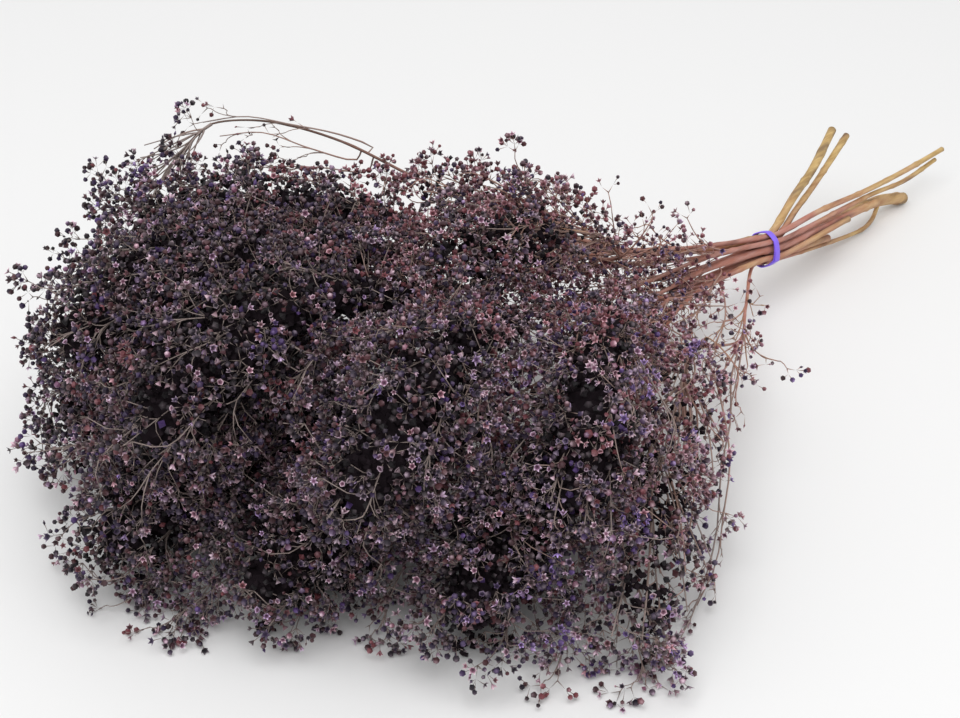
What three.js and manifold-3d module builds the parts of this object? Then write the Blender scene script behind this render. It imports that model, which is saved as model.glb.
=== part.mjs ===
// A dried, dyed bunch of broom bloom lying on its side, in millimetres, +Z up.
// +X points along the bunch to the cut ends of the stems, and z = 0 is the surface that it lies on.
// Nine thin stems and a side shoot run through a rubber band and fan out into fifteen sprays of
// small round pods.

import * as THREE from "three";
import { mergeVertices } from "three/addons/utils/BufferGeometryUtils.js";
import Module from "manifold-3d";

const wasm = await Module();
wasm.setup();

// The band, and the bundle of stems that it holds, which leans down towards the cut ends
const bandCentre = new THREE.Vector3(211, -4, 36);
const bundleLean = Math.atan(0.25);
const bandWidth = 4.2;
const bandThickness = 1.3;
const bandCorners = 26;
const grip = 0.4;
const straightAtBand = 9;
const neckCentre = new THREE.Vector3(152, -3.5, 48);
const neckSpread = 1.75;

// Stems and twigs: thick as far as the cut end's share of their length, then thinner from the band on
const cutEndShare = 0.2;
const bandShare = 0.42;
const twigTipRadius = 0.9;
const stemSides = 5;
const stemStep = 28;
const stemSampleStep = 3;
const socketDepth = 0.16;
const socketGap = 0.35;

// Sprays: how they swell along their middle line, and how much room they leave each other
const rootSwelling = 0.22;
const swellingPower = 0.85;
const widestAt = 0.7;
const axisSteps = 32;
const sprayReach = 0.5;
const sprayClearance = 1.1;
const stemClearance = 2.2;
const leastRoom = 0.25;
const outerRoom = 0.96;
const roomSteps = 16;

// Close-set pods, raised from the core of a spray
const coreShare = 0.6;
const coreRoom = 0.9;
const coreFrom = 0.02;
const coreTo = 0.97;
const coreTip = 0.985;
const coreAboveFloor = 1;
const fewestColumns = 5;
const headPitch = 17.6;
const headFill = 0.66;
const headRise = 4;
const lowestHead = 0.35;

// Pods on stalks, from the first share of the middle line to the last
const podCount = 7;
const podRadius = 4;
const podSides = 3;
const stalkRadius = 0.8;
const shortestStalk = 14;
const firstPodAt = 0.16;
const lastPodAt = 0.99;
const podCrowding = 0.8;
const podDepth = 0.08;
const footBehind = 0.08;
const footDepth = 0.27;
const podAboveFloor = 2;
const restingPodRadius = 5;
const restingPodSides = 6;

// Each stem: its cut end first, points that it passes before the band, its place in the bundle
// (across, up), its radius at the cut end and at the band, and the spray that it grows into.
const stems = [
  { name: "stem_thick_upper", cut: [[322, 38, 53], [279, 18.8, 50], [251, 9.6, 46.8]],
    inBundle: [5.6, 3.2], radii: [2.5, 2.2], spray: "arch",
    via: [[102, 40, 64], [50, 98, 98], [22, 130, 119], [-4, 156, 129]] },
  { name: "stem_slim_upper", cut: [[334, 35.5, 46], [278, 15.6, 41.6], [250, 6.4, 40]], inBundle: [1.0, 2.6],
    radii: [2.0, 1.7], spray: "low_back", via: [[112, 30, 50]] },
  { name: "stem_long_upper", cut: [[402, 10, 22], [358, 6, 25.4], [311, 2.2, 30.6], [262, -1, 37.6]],
    inBundle: [0.6, 6.6], radii: [1.5, 1.6], spray: "high_left", via: [[90, 18, 72]] },
  { name: "stem_long_lower", cut: [[394, 9, 18], [354, 4, 20.2], [318, 2.4, 25.4]],
    inBundle: [-3.4, 5.0], radii: [1.3, 1.4], spray: "high_middle", via: [[84, -8, 64]] },
  { name: "stem_thickest", cut: [[363, 8, 3.3], [338, 9, 10.6], [275, 3, 21.5]],
    inBundle: [2.2, -2.6], radii: [3.5, 2.9], spray: "low_far_left", via: [[92, 20, 46]] },
  { name: "stem_olive", cut: [[322, 0, 20]], inBundle: [-3.2, 0.4], radii: [2.1, 2.0],
    spray: "high_front", via: [[90, -16, 58]] },
  { name: "stem_short_olive", cut: [[283, -7.2, 27]], inBundle: [-6.1, -3.4], radii: [1.7, 1.5],
    spray: "low_right", via: [[112, -24, 46]] },
  { name: "stem_pink", cut: [[273, -2, 16]], inBundle: [-2.6, -5.0], radii: [1.8, 1.7],
    spray: "low_front_right", via: [[92, -20, 34]] },
  { name: "stem_hidden", cut: [[292, 9.6, 14]], inBundle: [2.4, -7.8], radii: [1.7, 1.6],
    spray: "low_front", via: [[92, -5, 34]] },
];

// Forks leave a stem at a share of its length and end in a spray of their own.
const forks = [
  { stem: "stem_thick_upper", at: 0.62, radius: 1.3, spray: "crown_back", via: [[116, 14, 66]] },
  { stem: "stem_slim_upper", at: 0.74, radius: 1.3, spray: "high_far", via: [[84, 40, 64]] },
  { stem: "stem_long_upper", at: 0.76, radius: 1.2, spray: "crown_front", via: [] },
  { stem: "stem_thickest", at: 0.72, radius: 1.6, spray: "low_left", via: [[60, 12, 40]] },
  { stem: "stem_olive", at: 0.66, radius: 1.3, spray: "high_right", via: [[104, -26, 60]] },
];

// The side shoot bends out of the thickest stem near its cut end and runs back under the band.
const sideShoot = {
  leaves: [[338, 9, 9.4], [334.5, 8, 5.2], [328, 5.4, 3.4], [316, 2.6, 3.0], [301, 1.4, 5.2],
    [270, -0.6, 11.8], [240, -3.4, 19.6]],
  inBundle: [-1.4, -8.5],
  radii: [1.3, 1.0],
  via: [[164, -30, 31], [129, -53, 36]],
  spray: "right_near",
};

// Each spray: where its stem enters, the crest of its arch, its furthest tip, and its half width
// and half thickness at the widest place. The low ones rest on a pod at a share of their length.
const sprays = {
  low_back: { root: [60, 60, 44], crest: [-10, 118, 44], tip: [-80, 166, 32], half: [46, 38],
    restsAt: 0.66 },
  low_far_left: { root: [20, 40, 42], crest: [-80, 92, 42], tip: [-164, 125, 32], half: [48, 38],
    restsAt: 0.66 },
  low_left: { root: [-20, 14, 38], crest: [-110, 38, 40], tip: [-199, 43, 24], half: [48, 36],
    restsAt: 0.66 },
  low_front: { root: [10, -10, 36], crest: [-80, -23, 38], tip: [-168, -22, 20], half: [48, 34],
    restsAt: 0.66 },
  low_front_right: { root: [36, -34, 36], crest: [-38, -74, 40], tip: [-111, -99, 18], half: [46, 34],
    restsAt: 0.66 },
  low_right: { root: [66, -46, 38], crest: [2, -110, 42], tip: [-66, -166, 22], half: [36, 31],
    restsAt: 0.66 },
  right_near: { root: [100, -50, 46], crest: [55, -79, 59], tip: [11, -118, 40], half: [32, 31] },
  high_far: { root: [34, 62, 80], crest: [-26, 106, 106], tip: [-108, 150, 84], half: [46, 36] },
  high_left: { root: [14, 42, 84], crest: [-76, 72, 116], tip: [-176, 100, 86], half: [48, 36] },
  high_middle: { root: [-4, 6, 82], crest: [-90, 20, 120], tip: [-184, 22, 78], half: [48, 38] },
  high_front: { root: [22, -18, 76], crest: [-58, -42, 110], tip: [-140, -68, 70], half: [46, 36] },
  high_right: { root: [66, -34, 66], crest: [0, -76, 100], tip: [-62, -126, 62], half: [42, 34] },
  crown_back: { root: [94, 26, 76], crest: [64, 50, 98], tip: [26, 76, 110], half: [30, 28] },
  crown_front: { root: [96, 0, 76], crest: [58, 2, 106], tip: [-24, 8, 120], half: [40, 30] },
  arch: { root: [-24, 173, 128], crest: [-46, 176, 114], tip: [-80, 167, 90], half: [25, 23] },
};

const woodMaterial = new THREE.MeshStandardMaterial({ color: 0xa9764f, roughness: 0.75, metalness: 0 });
const podMaterial = new THREE.MeshStandardMaterial({ color: 0x3a2a3a, roughness: 0.85, metalness: 0 });
const bandMaterial = new THREE.MeshStandardMaterial({ color: 0x6f52d8, roughness: 0.55, metalness: 0 });

const point = (list) => new THREE.Vector3(...list);

// A repeatable draw between 0 and 1 from any number of whole seeds.
function draw(...seeds) {
  let state = 2166136261;
  for (const seed of seeds) {
    state = Math.imul(state ^ (seed + 374761393), 16777619);
    state = Math.imul(state ^ (state >>> 13), 1274126177);
  }
  return ((state ^ (state >>> 16)) >>> 0) / 4294967296;
}

function solidOf(geometry) {
  geometry.deleteAttribute("normal");
  geometry.deleteAttribute("uv");
  const merged = mergeVertices(geometry, 1e-4);
  return new wasm.Manifold(new wasm.Mesh({
    numProp: 3,
    vertProperties: Float32Array.from(merged.attributes.position.array),
    triVerts: Uint32Array.from(merged.index.array),
  }));
}

function geometryOf(solid) {
  const mesh = solid.getMesh();
  const geometry = new THREE.BufferGeometry();
  geometry.setAttribute("position", new THREE.BufferAttribute(mesh.vertProperties, 3));
  geometry.setIndex(new THREE.BufferAttribute(mesh.triVerts, 1));
  geometry.computeVertexNormals();
  return geometry;
}

const join = (solids) => solids.reduce((whole, next) => whole.add(next));

// The largest body of a solid, without loose scraps or sealed hollows
const larger = (best, next) => (next.volume() > best.volume() ? next : best);
const mainBody = (solid) => solid.decompose().reduce(larger);

// Rings of points, each with the same number of corners, closed by a flat cap at each end.
function loft(rings) {
  const sides = rings[0].length;
  const positions = rings.flat().flatMap((corner) => corner.toArray());
  const index = [];
  for (let ring = 0; ring < rings.length - 1; ring += 1) {
    for (let side = 0; side < sides; side += 1) {
      const a = ring * sides + side;
      const b = ring * sides + (side + 1) % sides;
      index.push(a, b, b + sides, a, b + sides, a + sides);
    }
  }
  const last = (rings.length - 1) * sides;
  for (let side = 1; side < sides - 1; side += 1) {
    index.push(0, side + 1, side, last, last + side, last + side + 1);
  }
  const geometry = new THREE.BufferGeometry();
  geometry.setAttribute("position", new THREE.Float32BufferAttribute(positions, 3));
  geometry.setIndex(index);
  return geometry;
}

// Rings of corners joined all the way round, so that the last meets the first.
function closedLoft(rings) {
  const sides = rings[0].length;
  const corners = rings.length * sides;
  const index = [];
  for (let corner = 0; corner < corners; corner += 1) {
    const start = corner - corner % sides;
    const b = start + (corner + 1) % sides;
    const c = (b + sides) % corners;
    const d = (corner + sides) % corners;
    index.push(corner, b, c, corner, c, d);
  }
  const geometry = new THREE.BufferGeometry();
  const positions = rings.flat().flatMap((corner) => corner.toArray());
  geometry.setAttribute("position", new THREE.Float32BufferAttribute(positions, 3));
  geometry.setIndex(index);
  return geometry;
}

// A ring of corners round a centre, in the plane of the two directions, counted from one to the other.
function ringAround(centre, across, up, radius, sides, turn = 0) {
  return Array.from({ length: sides }, (_, corner) => {
    const angle = turn + corner * 2 * Math.PI / sides;
    return centre.clone()
      .addScaledVector(across, radius * Math.cos(angle))
      .addScaledVector(up, radius * Math.sin(angle));
  });
}

// A round tapering stem: a ring at every point that shapes the curve, and more on long stretches.
function taperedTube(curve, radiusAt, overrun = 0) {
  const spans = curve.points.length - 1;
  const stations = [{ at: curve.getPoint(0), tangent: curve.getTangent(0), along: 0 }];
  for (let span = 0; span < spans; span += 1) {
    const steps = Math.max(1, Math.round(curve.points[span].distanceTo(curve.points[span + 1]) / stemStep));
    for (let step = 1; step <= steps; step += 1) {
      const at = curve.getPoint((span + step / steps) / spans);
      const before = stations.at(-1);
      const along = before.along + at.distanceTo(before.at);
      stations.push({ at, tangent: curve.getTangent((span + step / steps) / spans), along });
    }
  }
  const end = stations.at(-1);
  end.at.addScaledVector(end.tangent, overrun);
  const level = new THREE.Vector3(0, 0, 1);
  return loft(stations.map(({ at, tangent, along }) => {
    const across = level.clone().cross(tangent).normalize();
    const up = tangent.clone().cross(across);
    return ringAround(at, across, up, radiusAt(along / end.along), stemSides);
  }));
}

// The bundle leans a little: up is square to the stems, across stays level.
const bundleAxis = new THREE.Vector3(Math.cos(bundleLean), 0, -Math.sin(bundleLean));
const bundleUp = new THREE.Vector3(Math.sin(bundleLean), 0, Math.cos(bundleLean));
const bundleAcross = new THREE.Vector3(0, 1, 0);

function inBundle([across, up], along = 0) {
  return bandCentre.clone()
    .addScaledVector(bundleAcross, across)
    .addScaledVector(bundleUp, up)
    .addScaledVector(bundleAxis, along);
}

function atNeck([across, up]) {
  return neckCentre.clone()
    .addScaledVector(bundleAcross, across * neckSpread)
    .addScaledVector(bundleUp, up * neckSpread);
}

// The middle line of a spray: a curve through its root, crest and tip.
function sprayAxis({ root, crest, tip }) {
  const [start, middle, end] = [root, crest, tip].map(point);
  const handle = middle.multiplyScalar(2).addScaledVector(start, -0.5).addScaledVector(end, -0.5);
  return new THREE.QuadraticBezierCurve3(start, handle, end);
}

// A spray swells from its root to its widest place and closes in a round dome at its tip.
function swelling(share) {
  if (share < widestAt) {
    return rootSwelling + (1 - rootSwelling) * (share / widestAt) ** swellingPower;
  }
  return Math.sqrt(Math.max(0, 1 - ((share - widestAt) / (1 - widestAt)) ** 2));
}

for (const [number, spray] of Object.values(sprays).entries()) {
  spray.number = number;
  spray.axis = sprayAxis(spray);
  spray.size = (spray.half[0] + spray.half[1]) / 2;
  spray.samples = Array.from({ length: axisSteps + 1 }, (_, step) => {
    const share = step / axisSteps;
    return { at: spray.axis.getPoint(share), reach: sprayReach * spray.size * swelling(share) };
  });
}

// Stems as curves, from the cut end to a short way inside the spray that they carry
const endInSpray = (spray) => [spray.axis.getPoint(0), spray.axis.getPoint(socketDepth)];

const woods = [];

for (const stem of stems) {
  const spray = sprays[stem.spray];
  const curve = new THREE.CatmullRomCurve3([
    ...stem.cut.map(point),
    ...[straightAtBand, 0, -straightAtBand].map((along) => inBundle(stem.inBundle, along)),
    atNeck(stem.inBundle),
    ...stem.via.map(point),
    ...endInSpray(spray),
  ], false, "centripetal");
  const [cutRadius, bandRadius] = stem.radii;
  const radiusAt = (share) => (share < bandShare
    ? THREE.MathUtils.lerp(cutRadius, bandRadius, Math.min(1, share / cutEndShare))
    : THREE.MathUtils.lerp(bandRadius, twigTipRadius, (share - bandShare) / (1 - bandShare)));
  woods.push({ name: stem.name, curve, radiusAt, spray: stem.spray });
}

for (const fork of forks) {
  const parent = woods.find((wood) => wood.name === fork.stem);
  const curve = new THREE.CatmullRomCurve3([
    parent.curve.getPointAt(fork.at),
    ...fork.via.map(point),
    ...endInSpray(sprays[fork.spray]),
  ], false, "centripetal");
  const radiusAt = (share) => THREE.MathUtils.lerp(fork.radius, twigTipRadius, share);
  woods.push({ name: fork.stem, curve, radiusAt, spray: fork.spray });
}

{
  const [startRadius, endRadius] = sideShoot.radii;
  const curve = new THREE.CatmullRomCurve3([
    ...sideShoot.leaves.map(point),
    ...[straightAtBand, 0, -straightAtBand].map((along) => inBundle(sideShoot.inBundle, along)),
    ...sideShoot.via.map(point),
    ...endInSpray(sprays[sideShoot.spray]),
  ], false, "centripetal");
  const radiusAt = (share) => THREE.MathUtils.lerp(startRadius, endRadius, Math.min(1, 2 * share));
  woods.push({ name: "stem_thickest", curve, radiusAt, spray: sideShoot.spray });
}

for (const wood of woods) {
  wood.samples = wood.curve.getSpacedPoints(Math.round(wood.curve.getLength() / stemSampleStep));
}

// Signed room that a place has in a spray: how much nearer it is to that spray's own middle line
// than to any other, less the clearance that it needs, and the same to stems.
function roomAt(spot, own, extra = 0) {
  const nearness = (spray) => Math.min(...spray.samples.map(({ at, reach }) => spot.distanceTo(at) - reach));
  const mine = nearness(own);
  let room = Infinity;
  for (const other of Object.values(sprays)) {
    if (other !== own) room = Math.min(room, (nearness(other) - mine) / 2 - sprayClearance - extra);
  }
  for (const wood of woods) {
    if (sprays[wood.spray] === own) continue;
    for (const sample of wood.samples) {
      room = Math.min(room, spot.distanceTo(sample) - stemClearance - twigTipRadius - extra);
    }
  }
  return room;
}

// The place at a share of the middle line, an angle round it and a share of the full half widths
function placeIn(spray, share, angle, reach) {
  const tangent = spray.axis.getTangent(share);
  const across = tangent.clone().cross(new THREE.Vector3(0, 0, 1)).normalize();
  const up = across.clone().cross(tangent);
  const swell = swelling(share) * reach;
  return spray.axis.getPoint(share)
    .addScaledVector(across, spray.half[0] * swell * Math.cos(angle))
    .addScaledVector(up, spray.half[1] * swell * Math.sin(angle));
}

// The share of the full half widths that has room, all the way out from the middle line
function reachWithRoom(spray, share, angle, extra, lowest) {
  let reached = leastRoom;
  for (let step = Math.ceil(leastRoom * roomSteps); step <= roomSteps; step += 1) {
    const spot = placeIn(spray, share, angle, step / roomSteps);
    if (spot.z < lowest || roomAt(spot, spray, extra) < 0) break;
    reached = step / roomSteps;
  }
  return reached;
}

// The close-set pods: a staggered grid of cells round the middle line. The corners of the cells lie
// on the core, and every cell rises square from it into the blunt, rounded head of a pod, but for
// the cells that another spray presses on.
function closePodsOf(spray) {
  const rows = Math.round(spray.axis.getLength() / headPitch);
  const girth = 2 * Math.PI * coreShare * spray.size;
  const columns = Math.max(fewestColumns, Math.round(girth / headPitch));
  const spots = [];
  const index = [];
  const shareOf = (row) => THREE.MathUtils.lerp(coreFrom, coreTo, row / rows);
  const angleOf = (row, column) => 2 * Math.PI * (column + row / 2) / columns;
  const roomOf = (row, column) => (
    reachWithRoom(spray, shareOf(row), angleOf(row, column), 0, coreAboveFloor)
  );
  const add = (spot) => spots.push(spot) - 1;
  const grid = Array.from({ length: rows + 1 }, (_, row) => (
    Array.from({ length: columns }, (_, column) => {
      const reach = Math.min(coreShare, coreRoom * roomOf(row, column));
      return add(placeIn(spray, shareOf(row), angleOf(row, column), reach));
    })
  ));
  for (let row = 0; row < rows; row += 1) {
    for (let column = 0; column < columns; column += 1) {
      const next = (column + 1) % columns;
      const cell = [grid[row][column], grid[row][next], grid[row + 1][next], grid[row + 1][column]];
      if (roomOf(row + 0.5, column + 0.5) < outerRoom) {
        index.push(cell[2], cell[1], cell[0], cell[3], cell[2], cell[0]);
        continue;
      }
      const head = podHead(spray, cell.map((corner) => spots[corner]), draw(spray.number, row, column));
      const rim = head.rim.map(add);
      const crown = add(head.crown);
      cell.forEach((corner, side) => {
        const after = (side + 1) % 4;
        index.push(cell[after], corner, rim[side], cell[after], rim[side], rim[after]);
        index.push(rim[after], rim[side], crown);
      });
    }
  }
  const root = add(spray.axis.getPoint(0));
  const tip = add(spray.axis.getPoint(coreTip));
  for (let column = 0; column < columns; column += 1) {
    const next = (column + 1) % columns;
    index.push(grid[0][column], grid[0][next], root);
    index.push(grid[rows][next], grid[rows][column], tip);
  }
  const geometry = new THREE.BufferGeometry();
  const positions = spots.flatMap((at) => at.toArray());
  geometry.setAttribute("position", new THREE.Float32BufferAttribute(positions, 3));
  geometry.setIndex(index);
  return geometry;
}

// One head over a cell: a square rim lifted off the cell and a crown above it, as high as luck gives
// it and as there is room for.
function podHead(spray, [a, b, c, d], luck) {
  const middle = a.clone().add(b).add(c).add(d).multiplyScalar(0.25);
  const round = b.clone().sub(a).add(c).sub(d).multiplyScalar(headFill / 4);
  const outward = c.clone().sub(a).cross(d.clone().sub(b)).normalize().negate();
  const along = d.clone().sub(a).add(c).sub(b).multiplyScalar(headFill / 4);
  along.addScaledVector(round, -along.dot(round) / round.lengthSq());
  let height = spray.size * (1 - coreShare) * THREE.MathUtils.lerp(lowestHead, 1, luck);
  const build = () => {
    const lifted = middle.clone().addScaledVector(outward, height);
    const rim = [[-1, -1], [1, -1], [1, 1], [-1, 1]].map(([side, end]) => (
      lifted.clone().addScaledVector(round, side).addScaledVector(along, end)
    ));
    return { rim, crown: lifted.addScaledVector(outward, headRise) };
  };
  let head = build();
  const hasNoRoom = (at) => at.z < coreAboveFloor || roomAt(at, spray) < 0;
  while (height > 1 && [...head.rim, head.crown].some(hasNoRoom)) {
    height *= 0.75;
    head = build();
  }
  return head;
}

// One pod on its stalk: a thin faceted stalk that opens into a blunt capsule.
function podOnStalk(foot, head, radius, sides) {
  const along = head.clone().sub(foot).normalize();
  const aside = Math.abs(along.z) > 0.9 ? new THREE.Vector3(1, 0, 0) : new THREE.Vector3(0, 0, 1);
  const across = aside.cross(along).normalize();
  const up = along.clone().cross(across);
  const ring = (back, size, turn) => (
    ringAround(head.clone().addScaledVector(along, back * radius), across, up, size, sides, turn)
  );
  return loft([
    ringAround(foot, across, up, stalkRadius, sides),
    ring(-1, stalkRadius, 0),
    ring(-0.1, radius, Math.PI / sides),
    ring(1, radius * 0.4, 0),
  ]);
}

// Pods stand evenly round the spray, on a spiral of golden turns from its root to its tip.
function podsOf(spray) {
  const goldenTurn = Math.PI * (3 - Math.sqrt(5));
  const pods = [];
  for (let number = 0; number < podCount; number += 1) {
    const spread = ((number + 0.5) / podCount) ** podCrowding;
    const share = THREE.MathUtils.lerp(firstPodAt, lastPodAt, spread);
    const angle = number * goldenTurn + spray.number;
    const room = reachWithRoom(spray, share, angle, podRadius, podAboveFloor);
    const out = room * (1 - podDepth * draw(spray.number, number));
    const head = placeIn(spray, share, angle, out);
    if (head.z < 2 * podRadius) head.z = podAboveFloor;
    const foot = placeIn(spray, share - footBehind, angle, room * footDepth);
    if (head.distanceTo(foot) > shortestStalk) pods.push(podOnStalk(foot, head, podRadius, podSides));
  }
  if (spray.restsAt) pods.push(restingPod(spray));
  return pods;
}

// A pod pressed on the surface under its spray, which gives the bunch a small flat spot to lie on.
function restingPod(spray) {
  const foot = spray.axis.getPoint(spray.restsAt);
  const head = new THREE.Vector3(foot.x, foot.y, podAboveFloor);
  return podOnStalk(foot, head, restingPodRadius, restingPodSides);
}

// What lies below the surface that the bunch rests on is cut flat.
const floorBlock = solidOf(new THREE.BoxGeometry(2000, 2000, 200).translate(0, 0, -100));

const bunch = new THREE.Group();

function place(name, solid, material) {
  const mesh = new THREE.Mesh(geometryOf(mainBody(solid)), material);
  mesh.name = name;
  bunch.add(mesh);
}

// Stems, each in one piece with the forks that grew out of it
const stemNames = [...new Set(woods.map((wood) => wood.name))];
for (const name of stemNames) {
  const limbs = woods.filter((wood) => wood.name === name);
  const tubes = limbs.map((limb) => solidOf(taperedTube(limb.curve, limb.radiusAt)));
  place(name, join(tubes).subtract(floorBlock), woodMaterial);
}

// The band hugs the stems: the outline round them all, as a ring of corners.
function outlineRoundStems() {
  const held = [
    ...stems.map(({ inBundle: [across, up], radii }) => ({ across, up, radius: radii[1] })),
    { across: sideShoot.inBundle[0], up: sideShoot.inBundle[1], radius: sideShoot.radii[0] },
  ];
  return Array.from({ length: bandCorners }, (_, corner) => {
    const angle = 2 * Math.PI * corner / bandCorners;
    const outward = new THREE.Vector2(Math.cos(angle), Math.sin(angle));
    const reachOf = (stem) => stem.across * outward.x + stem.up * outward.y + stem.radius + grip;
    const furthest = held.reduce((best, stem) => (reachOf(stem) > reachOf(best) ? stem : best));
    const onStem = new THREE.Vector2(furthest.across, furthest.up);
    return { outward, spot: onStem.addScaledVector(outward, furthest.radius + grip) };
  });
}

// Its section: flat against the stems, with one rounded ridge for each turn.
function bandSolid() {
  const section = [[-0.5, 0], [0.5, 0], [0.5, 0.55], [0.28, 1], [0, 0.6], [-0.28, 1], [-0.5, 0.55]];
  const rings = outlineRoundStems().map(({ outward, spot }) => section.map(([along, out]) => {
    const lifted = spot.clone().addScaledVector(outward, out * bandThickness);
    return inBundle([lifted.x, lifted.y], along * bandWidth);
  }));
  return solidOf(closedLoft(rings));
}

place("rubber_band", bandSolid(), bandMaterial);

// Sprays, each with a plain socket for the end of its twig
for (const [name, spray] of Object.entries(sprays)) {
  const wood = woods.find((limb) => sprays[limb.spray] === spray);
  const widened = (share) => wood.radiusAt(share) + socketGap;
  const socket = solidOf(taperedTube(wood.curve, widened, socketGap));
  const bloom = join([closePodsOf(spray), ...podsOf(spray)].map(solidOf));
  place(`spray_${name}`, bloom.subtract(socket).subtract(floorBlock), podMaterial);
}

// The origin is the middle of the bunch's box, on the surface that it lies on.
const box = new THREE.Box3().setFromObject(bunch);
const middle = box.getCenter(new THREE.Vector3());
bunch.position.set(-middle.x, -middle.y, -box.min.z);

export default bunch;
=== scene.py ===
import math

import bpy
import numpy as np
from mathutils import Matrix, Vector


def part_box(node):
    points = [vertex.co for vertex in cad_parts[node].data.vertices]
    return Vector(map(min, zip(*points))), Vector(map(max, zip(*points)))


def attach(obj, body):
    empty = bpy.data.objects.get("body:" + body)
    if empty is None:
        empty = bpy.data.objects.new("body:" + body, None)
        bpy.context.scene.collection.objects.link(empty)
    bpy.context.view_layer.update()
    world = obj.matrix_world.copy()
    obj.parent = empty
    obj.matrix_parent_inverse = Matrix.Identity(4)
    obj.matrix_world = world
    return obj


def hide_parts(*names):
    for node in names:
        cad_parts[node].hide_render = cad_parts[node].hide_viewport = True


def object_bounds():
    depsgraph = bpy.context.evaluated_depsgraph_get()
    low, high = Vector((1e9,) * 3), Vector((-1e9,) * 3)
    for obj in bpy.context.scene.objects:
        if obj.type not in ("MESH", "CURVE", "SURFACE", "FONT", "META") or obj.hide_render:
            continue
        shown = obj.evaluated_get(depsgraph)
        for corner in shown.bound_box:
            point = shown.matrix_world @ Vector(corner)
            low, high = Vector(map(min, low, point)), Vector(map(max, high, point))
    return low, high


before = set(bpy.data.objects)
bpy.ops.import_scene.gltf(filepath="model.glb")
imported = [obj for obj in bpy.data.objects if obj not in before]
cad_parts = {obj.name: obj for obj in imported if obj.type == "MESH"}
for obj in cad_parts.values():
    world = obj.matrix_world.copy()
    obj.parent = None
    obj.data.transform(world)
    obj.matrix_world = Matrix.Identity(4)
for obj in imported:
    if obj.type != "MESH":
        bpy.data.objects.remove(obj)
cadBox = [list(corner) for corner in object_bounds()]
print("frame loaded")

# Lengths are in millimetres in the bunch's own measure, and the band's box gives its place
bunch = {
    "seed": 11, "spraySeed": 1100, "stemSeed": 11000,
    "bandMiddle": (210.81, -3.9, 35.22),
    "roomOutsideBox": 9.0,  # how far a twig may stand out of the solids' box
    "floorGap": 0.3,
}

bandLow, bandHigh = (np.array(corner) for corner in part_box("rubber_band"))
bunchShift = (bandLow + bandHigh) / 2 - np.array(bunch["bandMiddle"]) / 1000
lowestSpot, highestSpot = ((np.array(corner) - bunchShift) * 1000 for corner in cadBox)


def toMetres(points):
    # millimetres / 1000 + the shift
    return points / 1000 + bunchShift


def unit(vectors):
    # Each vector / its length
    return vectors / np.maximum(np.linalg.norm(vectors, axis=-1, keepdims=True), 1e-9)


def squareTo(heading):
    # Two directions square to each heading: the first also square to the world axis it is least along
    least = np.argmin(np.abs(heading), axis=-1)
    across = unit(np.cross(np.eye(3)[least], heading))
    return across, np.cross(heading, across)


def notBelow(points, least):
    # The same places, with their height raised to a least height where it is lower
    return np.concatenate([points[..., :2], np.maximum(points[..., 2:], least)], -1)


def lengthOf(line):
    # The sum of the distances from each place to the next
    return np.linalg.norm(np.diff(line, axis=0), axis=1).sum()


# Lines

def curveThrough(points, stations, steps=32):
    # Centripetal Catmull-Rom line through the points, at places evenly spaced along its length
    given = np.array(points, float)
    held = np.vstack([2 * given[0] - given[1], given, 2 * given[-1] - given[-2]])
    before, start, end, after = held[:-3], held[1:-2], held[2:-1], held[3:]
    gaps = np.sqrt(np.linalg.norm(np.diff(held, axis=0), axis=1))[:, None]
    first, second, third = gaps[:-2], gaps[1:-1], gaps[2:]
    leave = ((start - before) / first - (end - before) / (first + second) + (end - start) / second) * second
    arrive = ((end - start) / second - (after - start) / (second + third) + (after - end) / third) * second
    t = np.linspace(0, 1, steps + 1)[:-1, None, None]
    line = (start + leave * t + (3 * (end - start) - 2 * leave - arrive) * t ** 2
            + (2 * (start - end) + leave + arrive) * t ** 3)
    line = np.vstack([line.transpose(1, 0, 2).reshape(-1, 3), given[-1]])
    along = np.concatenate([[0], np.cumsum(np.linalg.norm(np.diff(line, axis=0), axis=1))])
    wanted = np.linspace(0, along[-1], stations)
    return np.stack([np.interp(wanted, along, line[:, axis]) for axis in range(3)], 1)


def bentLines(start, middle, end, stations):
    # Many curves at once, each start * (1 - t)^2 + 2 * middle * t * (1 - t) + end * t^2
    t = np.linspace(0, 1, stations)[:, None]
    return start[:, None] * (1 - t) ** 2 + 2 * middle[:, None] * t * (1 - t) + end[:, None] * t ** 2


# Surfaces

def loftFaces(rings, sides, closed=False):
    # Triangles between rings of corners, with each face's places on a map: share round, share along
    spans = rings if closed else rings - 1
    ring, side = (grid.ravel() for grid in np.meshgrid(np.arange(spans), np.arange(sides), indexing="ij"))
    after, above = (side + 1) % sides, (ring + 1) % rings
    lowLeft, lowRight = ring * sides + side, ring * sides + after
    highLeft, highRight = above * sides + side, above * sides + after
    faces = np.stack([lowLeft, lowRight, highRight, lowLeft, highRight, highLeft], 1).reshape(-1, 3)
    rows = max(spans, 1)
    low = np.stack([side / sides, ring / rows], 1)
    right, rise = np.array([1 / sides, 0]), np.array([0, 1 / rows])
    corners = np.stack([low, low + right, low + right + rise, low, low + right + rise, low + rise], 1)
    return faces, corners.reshape(-1, 3, 2)


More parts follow.
